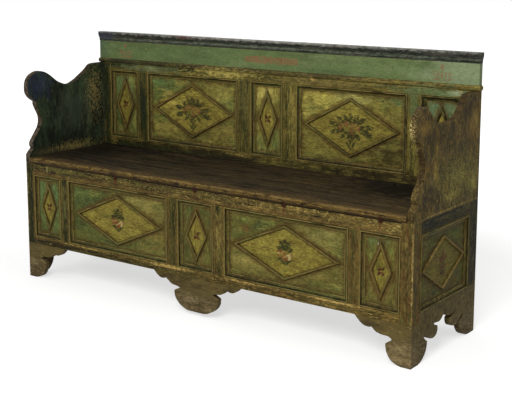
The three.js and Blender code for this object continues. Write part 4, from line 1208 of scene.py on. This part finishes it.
class SETTLE_OT_panels(bpy.types.Operator):
    """Twelve panels: a brushed board with its posy, a mitred moulding and a lozenge strip"""

    bl_idname = "settle.panels"
    bl_label = "Panels"

    def execute(self, context):
        sizes = context.scene.settle_sizes
        for order, node in enumerate(pieces_with("_panel")):
            where = next(place for place in LOZENGE_MARGINS if place in node)
            face, half_a, half_b = panel_face(node, sizes)
            tip_a, tip_b = np.array([half_a, half_b]) - LOZENGE_MARGINS[where]
            narrow = half_a < half_b
            grain = "Z" if narrow else ("Y" if where == "side" else "X")
            motif = STAR if narrow else {"front": POSY, "back": SPRAY, "side": SPRIG}[where]
            slant = 1 / math.hypot(1 / tip_a, 1 / tip_b)
            board(
                f"{node}_board", face, half_a + TONGUE, half_b + TONGUE, SETBACK + PANEL_THICKNESS,
                lambda a, b: -SETBACK + UNEVEN * (
                    np.sin(a / (61 * MM) + order) * np.sin(b / (43 * MM) + 2 * order)),
                {
                    "lozenge": lambda a, b: slant * (1 - np.abs(a) / tip_a - np.abs(b) / tip_b) / MM,
                    "motif": lambda a, b: painted_over(motif, a, b),
                    "rim": lambda a, b: (
                        np.minimum(half_a - np.abs(a), half_b - np.abs(b)) - sizes.moulding_width) / MM,
                },
                sizes.grid, painted_panel(where, grain), "panel_paint", (node,))
            a, b = half_a - GAP, half_b - GAP
            oblong = [(-a, -b), (a, -b), (a, b), (-a, b)]
            diamond = [(-tip_a, 0), (0, -tip_b), (tip_a, 0), (0, tip_b)]
            for name, kind, corners, profile, seed in (
                ("moulding", "moulding", oblong, moulding_profile, 1.0),
                ("lozenge", "strip", diamond, strip_profile, 30.0),
            ):
                mitred_strip(
                    f"{node}_{name}", face, corners, profile(sizes), 4 * sizes.grid, order + seed,
                    painted_moulding(kind), "panel_paint")
        return {"FINISHED"}


# The coats of the frame, the way of the grain, the panels beside it, and the boards that wear it
FRAME_COATS = (
    ("seat_rail", "X", "front_panel", ("front_top_rail",)),
    ("bottom_rail", "X", "front_panel", ("front_bottom_rail",)),
    ("frame", "Z", "front_panel", ("front_post", "front_muntin")),
    ("side_frame", "Y", "side_panel", ("side_top_rail",)),
    ("side_frame", "Z", "side_panel", ("side_rear_stile",)),
    ("back_frame", "X", "back_panel", ("back_top_rail", "back_bottom_rail", "back_bead_rail")),
    ("back_frame", "Z", "back_panel", ("back_muntin", "back_stile")),
    ("cornice", "X", None, ("back_cornice",)),
)


class SETTLE_OT_frame(bpy.types.Operator):
    """Posts, rails, stiles and muntins of the chest and back, the bead and the cornice"""

    bl_idname = "settle.frame"
    bl_label = "Frame"

    def execute(self, context):
        for coat, grain, beside, boards in FRAME_COATS:
            openings = pieces_with(beside) if beside else []
            extra, spots = (painted_shadow_under_lid, front_marks()) if coat == "seat_rail" else (None, ())
            axis = "X"
            if beside == "side_panel":
                openings, axis = openings[:1], "Y"
            finish = painted(coat, grain, extra, 1.3 * len(coat), openings, axis, spots)
            for words in boards:
                for node in pieces_with(words):
                    dress(node, finish, context.scene.settle_sizes.arris)
        return {"FINISHED"}


class SETTLE_OT_frieze(bpy.types.Operator):
    """The board over the back, with faded red brushwork in three places"""

    bl_idname = "settle.frieze"
    bl_label = "Frieze"

    def execute(self, context):
        low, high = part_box("back_frieze")
        middle = (low + high) / 2
        motifs = list(zip((FRIEZE_TUFT, FRIEZE_GARLAND, FRIEZE_TUFT), FRIEZE_PLACES))
        board(
            "back_frieze_board", plane((middle.x, low.y, middle.z), *FRONT),
            (high.x - low.x) / 2, (high.z - low.z) / 2, high.y - low.y,
            lambda a, b: -0.2 * MM * (1 + np.sin(a / (83 * MM)) * np.sin(b / (21 * MM))),
            {"motif": lambda a, b: np.maximum.reduce([painted_over(m, a, b, x) for m, x in motifs])},
            context.scene.settle_sizes.grid, painted("frieze", "X", red_ornament),
            "frieze_paint", ("back_frieze",))
        return {"FINISHED"}


class SETTLE_OT_arms(bpy.types.Operator):
    """The two shaped arms, with their edges worn round and bitten"""

    bl_idname = "settle.arms"
    bl_label = "Arms"

    def execute(self, context):
        finish = painted("arm", "Z", two_sided_arm, seed=1.7)
        for side, way in SIDES:
            plank(
                f"{side}_arm_worn", f"{side}_arm", (way, 0, 0), context.scene.settle_sizes,
                3.0 + way, finish, "arm_paint")
        return {"FINISHED"}


class SETTLE_OT_feet(bpy.types.Operator):
    """Scroll-cut brackets and side aprons, and the block behind the middle foot"""

    bl_idname = "settle.feet"
    bl_label = "Feet"

    def execute(self, context):
        sizes = context.scene.settle_sizes
        shaped = [(f"{side}_front_bracket", (0, -1, 0), "X") for side in ("right", "left", "centre")]
        shaped += [(f"{side}_side_apron", (way, 0, 0), "Y") for side, way in SIDES]
        for order, (node, look, grain) in enumerate(shaped):
            plank(
                f"{node}_worn", node, look, sizes, 11.0 + order,
                painted("foot", grain, foot_dust, seed=6.1), "foot_paint")
        dress("centre_foot_block", bare_pine("X"), sizes.arris)
        return {"FINISHED"}


def lid_section(low, high, pocketed):
    """The lid across its depth as (y, z) pairs, clockwise seen from the right end: along the
    underside, round the worn nose, back over the top and down the rear edge, which steps down
    for a hinge leaf and its knuckle where the lid is pocketed."""
    _, axis_y, axis_z = frame["joints"][0]["pos_m"]
    leaf_floor = high.z - LEAF_THICKNESS - GAP
    leaf_edge = axis_y - LEAF_DEPTH - GAP
    turn = np.linspace(0, np.pi / 2, 8)
    swing = np.linspace(math.acos((leaf_floor - axis_z) / KNUCKLE_CLEARANCE), math.pi * 0.96, 5)
    underside = np.linspace(high.y, low.y + UNDER_NOSE, 14)
    top = np.linspace(low.y + NOSE, leaf_edge, 52)[1:]
    if pocketed:
        rear = [
            ([leaf_edge], [leaf_floor]),
            (axis_y - KNUCKLE_CLEARANCE * np.sin(swing), axis_z + KNUCKLE_CLEARANCE * np.cos(swing))]
    else:
        corner = (4, 0), (1.2, 0), (0.4, 0.4), (0, 1.2)
        rear = [([(leaf_edge + high.y) / 2], [high.z])]
        rear += [([high.y - back * MM], [high.z - down * MM]) for back, down in corner]
        rear += [([high.y], [low.z + 6 * MM])]
    parts = [
        (underside, np.full(14, low.z)),
        (low.y + UNDER_NOSE * (1 - np.sin(turn[1:])), low.z + UNDER_NOSE * (1 - np.cos(turn[1:]))),
        (low.y + NOSE * (1 - np.cos(turn)), high.z - NOSE * (1 - np.sin(turn))),
        (top, np.full(51, high.z)), *rear]
    return np.concatenate([np.stack(part, -1) for part in parts])


class SETTLE_OT_seat(bpy.types.Operator):
    """The lid with its dished top and worn nose, the fixed board behind it and the cleats"""

    bl_idname = "settle.seat"
    bl_label = "Seat"

    def execute(self, context):
        sizes = context.scene.settle_sizes
        low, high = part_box("seat_lid")
        leaves = [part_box(f"{side}_hinge_moving_leaf") for side in ("left", "right")]
        pockets = [(start.x - GAP, end.x + GAP) for start, end in leaves]
        step = 0.05 * MM
        edges = [x + d for pocket in pockets for x in pocket for d in (-step, step)]
        stations = np.sort([*np.linspace(low.x, high.x, 170), *edges, low.x + MM, high.x - MM])
        inside = sum((stations > a) & (stations < b) for a, b in pockets).astype(bool)
        plain, pocketed = (lid_section(low, high, cut) for cut in (False, True))
        y, z = np.where(inside[:, None, None], pocketed, plain).transpose(2, 0, 1)
        run = stations[:, None] - low.x
        depth = (y - low.y) / (high.y - low.y)
        dish = np.sin(np.pi * np.clip(depth, 0, 1)) ** 2 * np.sin(np.pi * run / run.max()) ** 2
        ripple = np.sin(y / 0.029 + 1.3 * np.sin(run / 0.31)) * np.sin(run / 0.47 + 3 * depth)
        worn_down = 0.4 * MM + 0.9 * MM * dish + UNEVEN * (1 + ripple)
        z = z - np.where(z > high.z - 0.1 * MM, worn_down, 0)
        nose = np.clip(1 - (y - low.y) / (14 * MM), 0, 1)
        y = y + nose * (1.1 * MM + 0.8 * MM * wander(run, 0.19, 2.0) + 0.5 * MM * wander(run, 0.05, 6.0))
        end = np.isin(stations, [low.x, high.x])[:, None]
        z = z + end * np.clip((low.z + high.z) / 2 - z, -0.6 * MM, 0.6 * MM)
        points = np.stack([np.broadcast_to(stations[:, None], y.shape), y, z], -1)
        first = np.arange(y.shape[1])
        caps = [first[::-1].tolist(), (first + y.size - len(first)).tolist()]
        faces = quads(*y.shape, wrap_columns=True).tolist() + caps
        make_piece(
            "seat_lid_worn", points, faces, seat_wood(), LID, "seat_wood", ("seat_lid",), sharp=50)
        dress("rear_seat_board", seat_wood(), sizes.arris)
        for side in ("left", "right"):
            dress(f"{side}_lid_cleat", bare_pine("Y"), sizes.arris)
        return {"FINISHED"}


def rosehead(order, share, turn):
    """A nail head beaten to a low point, with four facets and an uneven rim."""
    facets = 0.10 * np.abs(np.cos(2 * turn + order))
    ragged = 1 + 0.07 * np.sin(3 * turn + order) + 0.04 * np.sin(7 * turn + 2 * order)
    return share * ragged, (1 - share ** 2 * (0.8 + facets)) + 0.05 * np.sin(5 * turn) * share


def slotted(share, turn):
    """A flat screw head with a slot across it, lower where the place is near the middle line."""
    near = np.clip(np.abs(share * np.sin(turn + 0.6)) / 0.14, 0, 1)
    return share, 0.15 + 0.85 * near - 0.3 * share ** 6


def screws(name, places, axes, sizes, finish, body):
    """Slotted screw heads at some places, as one piece."""
    heads = [
        knob(plane(place, *axes), sizes.screw_head, SCREW_HEIGHT, 6, 24, slotted) for place in places]
    make_piece(name, *merged(heads), finish, body, "iron")


class SETTLE_OT_ironwork(bpy.types.Operator):
    """Forged nails under the seat, hinge leaves, and the screws in leaves and cleats"""

    bl_idname = "settle.ironwork"
    bl_label = "Ironwork"

    def execute(self, context):
        sizes = context.scene.settle_sizes
        iron, leaf = forged_iron("nail"), forged_iron("leaf")
        rail_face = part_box("front_top_rail")[0].y
        for order, node in enumerate(pieces_with("front_nail")):
            low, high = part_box(node)
            middle = (low + high) / 2
            head = knob(
                plane((middle.x, rail_face, middle.z), *FRONT), sizes.nail_head, rail_face - low.y,
                8, 28, partial(rosehead, order))
            make_piece(f"{node}_head", *head, iron, CARCASE, "iron", (node,))
        seat_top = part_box("seat_lid")[1].z
        hinge_line = frame["joints"][0]["pos_m"][1]
        for side in ("left", "right"):
            for kind, body, way in (("fixed", CARCASE, 1), ("moving", LID, -1)):
                node = f"{side}_hinge_{kind}_leaf"
                dress(node, leaf, 0.3 * MM)
                low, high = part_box(node)
                xs = [(low.x + high.x) / 2 + k * (high.x - low.x) / 3 for k in (-1, 0, 1)]
                places = [(x, hinge_line + way * SCREW_FROM_HINGE, seat_top) for x in xs]
                screws(f"{node}_screws", places, ((1, 0, 0), (0, 1, 0), (0, 0, 1)), sizes, leaf, body)
            low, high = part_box(f"{side}_lid_cleat")
            middle = (low + high) / 2
            places = [(middle.x, middle.y + k * SCREW_SPACING, low.z) for k in (-1, 0, 1)]
            screws(
                f"{side}_lid_cleat_screws", places, ((-1, 0, 0), (0, 1, 0), (0, 0, -1)), sizes, iron, LID)
        return {"FINISHED"}


class SETTLE_OT_inside(bpy.types.Operator):
    """The unpainted boards inside and behind the chest"""

    bl_idname = "settle.inside"
    bl_label = "Inside"

    def execute(self, context):
        for node in (*pieces_with("floor_"), "seat_ledger", "lower_back_board"):
            dress(node, bare_pine("X"), context.scene.settle_sizes.arris)
        return {"FINISHED"}


def placed(name, data, place, way):
    """An object of the stage at a place, which looks along a way."""
    holder = bpy.data.objects.new(name, data)
    bpy.context.scene.collection.objects.link(holder)
    return made(holder, location=place, rotation_euler=Vector(way).to_track_quat("-Z", "Y").to_euler())


def seen_rays(add):
    """1 for the rays that show the background: from the camera, off gloss and through glass."""
    path = add("LightPath").outputs
    mirrored = add("MAXIMUM", path["Is Glossy Ray"], path["Is Transmission Ray"])
    return add("MAXIMUM", path["Is Camera Ray"], mirrored)


def white_paper(floor):
    """Matt white paper that takes the shadow. Seen directly it is lifted towards white, and
    wholly so from 2.6 m out."""
    add = floor.add
    away = add("VectorMath", floor.place, operation="LENGTH")
    lift = add("MULTIPLY", seen_rays(add), add("MapRange", away, 1.3, 2.6, 0.64, 1.0))
    paper = add("BsdfDiffuse", "#b4b4b3")
    add("OutputMaterial", add("AddShader", paper, add("Emission", {"Strength": lift})))


# Name, power setting, width and height and place of each lamp, and what all of them face
LAMPS = (
    ("key_soft_box", "key", (1.8, 1.8), (1.6, -3.4, 3.0)),
    ("fill_soft_box", "fill", (2.4, 2.0), (-3.2, -2.6, 1.8)),
    ("top_soft_box", "fill", (3.0, 2.0), (0.2, 0.6, 3.6)),
)
BENCH_MIDDLE = Vector((0, 0, 0.5))
FLOOR_RADIUS = 14
FLOOR_SIDES = 48


class SETTLE_OT_stage(bpy.types.Operator):
    """A pale floor, a white backdrop, soft lamps and the camera"""

    bl_idname = "settle.stage"
    bl_label = "Stage"

    def execute(self, context):
        scene = context.scene
        stage = scene.settle_stage
        rings = np.linspace(0, FLOOR_RADIUS, stage.floor_rings)[1:]
        turns = 2 * np.pi * np.arange(FLOOR_SIDES) / FLOOR_SIDES
        radius, angle = np.meshgrid(rings, turns, indexing="ij")
        disc = np.stack([radius * np.cos(angle), radius * np.sin(angle), 0 * angle], -1)
        faces = quads(*radius.shape, wrap_columns=True).tolist() + [list(range(FLOOR_SIDES))]
        mesh = bpy.data.meshes.new("studio_floor")
        mesh.from_pydata(disc.reshape(-1, 3).tolist(), [], faces)
        mesh.materials.append(material_of("matt_white_paper", "", white_paper))
        floor = bpy.data.objects.new("studio_floor", mesh)
        scene.collection.objects.link(floor)

        scene.world = made(bpy.data.worlds.new("studio"), use_nodes=True)
        scene.world.node_tree.nodes.clear()
        sky = partial(add, scene.world.node_tree)
        strength = sky("MapRange", seen_rays(sky), 0.0, 1.0, stage.room, 1.0)
        sky("OutputWorld", sky("Background", "#ffffff", strength))

        for name, power_of, (width, height), place in LAMPS:
            light = made(
                bpy.data.lights.new(name, "AREA"), shape="RECTANGLE", energy=getattr(stage, power_of),
                size=width, size_y=height)
            placed(name, light, place, BENCH_MIDDLE - Vector(place))

        camera = made(bpy.data.cameras.new("studio_camera"), lens=stage.lens, shift_y=stage.shift)
        level = math.cos(stage.pitch)
        way = (-math.sin(stage.azimuth) * level, math.cos(stage.azimuth) * level, -math.sin(stage.pitch))
        scene.camera = placed("studio_camera", camera, stage.eye, way)
        scene.view_settings.view_transform = "Standard"
        return {"FINISHED"}


OPERATORS = (
    SETTLE_OT_panels, SETTLE_OT_frame, SETTLE_OT_frieze, SETTLE_OT_arms, SETTLE_OT_feet,
    SETTLE_OT_seat, SETTLE_OT_ironwork, SETTLE_OT_inside, SETTLE_OT_stage,
)
GROUPS = {"settle_sizes": SettleSizes, "settle_colours": SettleColours, "settle_stage": SettleStage}


class SETTLE_PT_sidebar(bpy.types.Panel):
    """Sizes, colours and steps of the settle"""

    bl_label = "Settle"
    bl_idname = "SETTLE_PT_sidebar"
    bl_space_type = "VIEW_3D"
    bl_region_type = "UI"
    bl_category = "Settle"

    def draw(self, context):
        for name, group in GROUPS.items():
            box = self.layout.box()
            for key in group.__annotations__:
                box.prop(getattr(context.scene, name), key)
        for operator in OPERATORS:
            self.layout.operator(operator.bl_idname)


def register():
    for cls in (*GROUPS.values(), *OPERATORS, SETTLE_PT_sidebar):
        bpy.utils.register_class(cls)
    for name, group in GROUPS.items():
        setattr(bpy.types.Scene, name, PointerProperty(type=group))


def unregister():
    for name in GROUPS:
        delattr(bpy.types.Scene, name)
    for cls in (SETTLE_PT_sidebar, *reversed(OPERATORS), *reversed(GROUPS.values())):
        bpy.utils.unregister_class(cls)


def main():
    register()
    for operator in OPERATORS:
        family, name = operator.bl_idname.split(".")
        getattr(getattr(bpy.ops, family), name)()


if __name__ == "__main__":
    main()
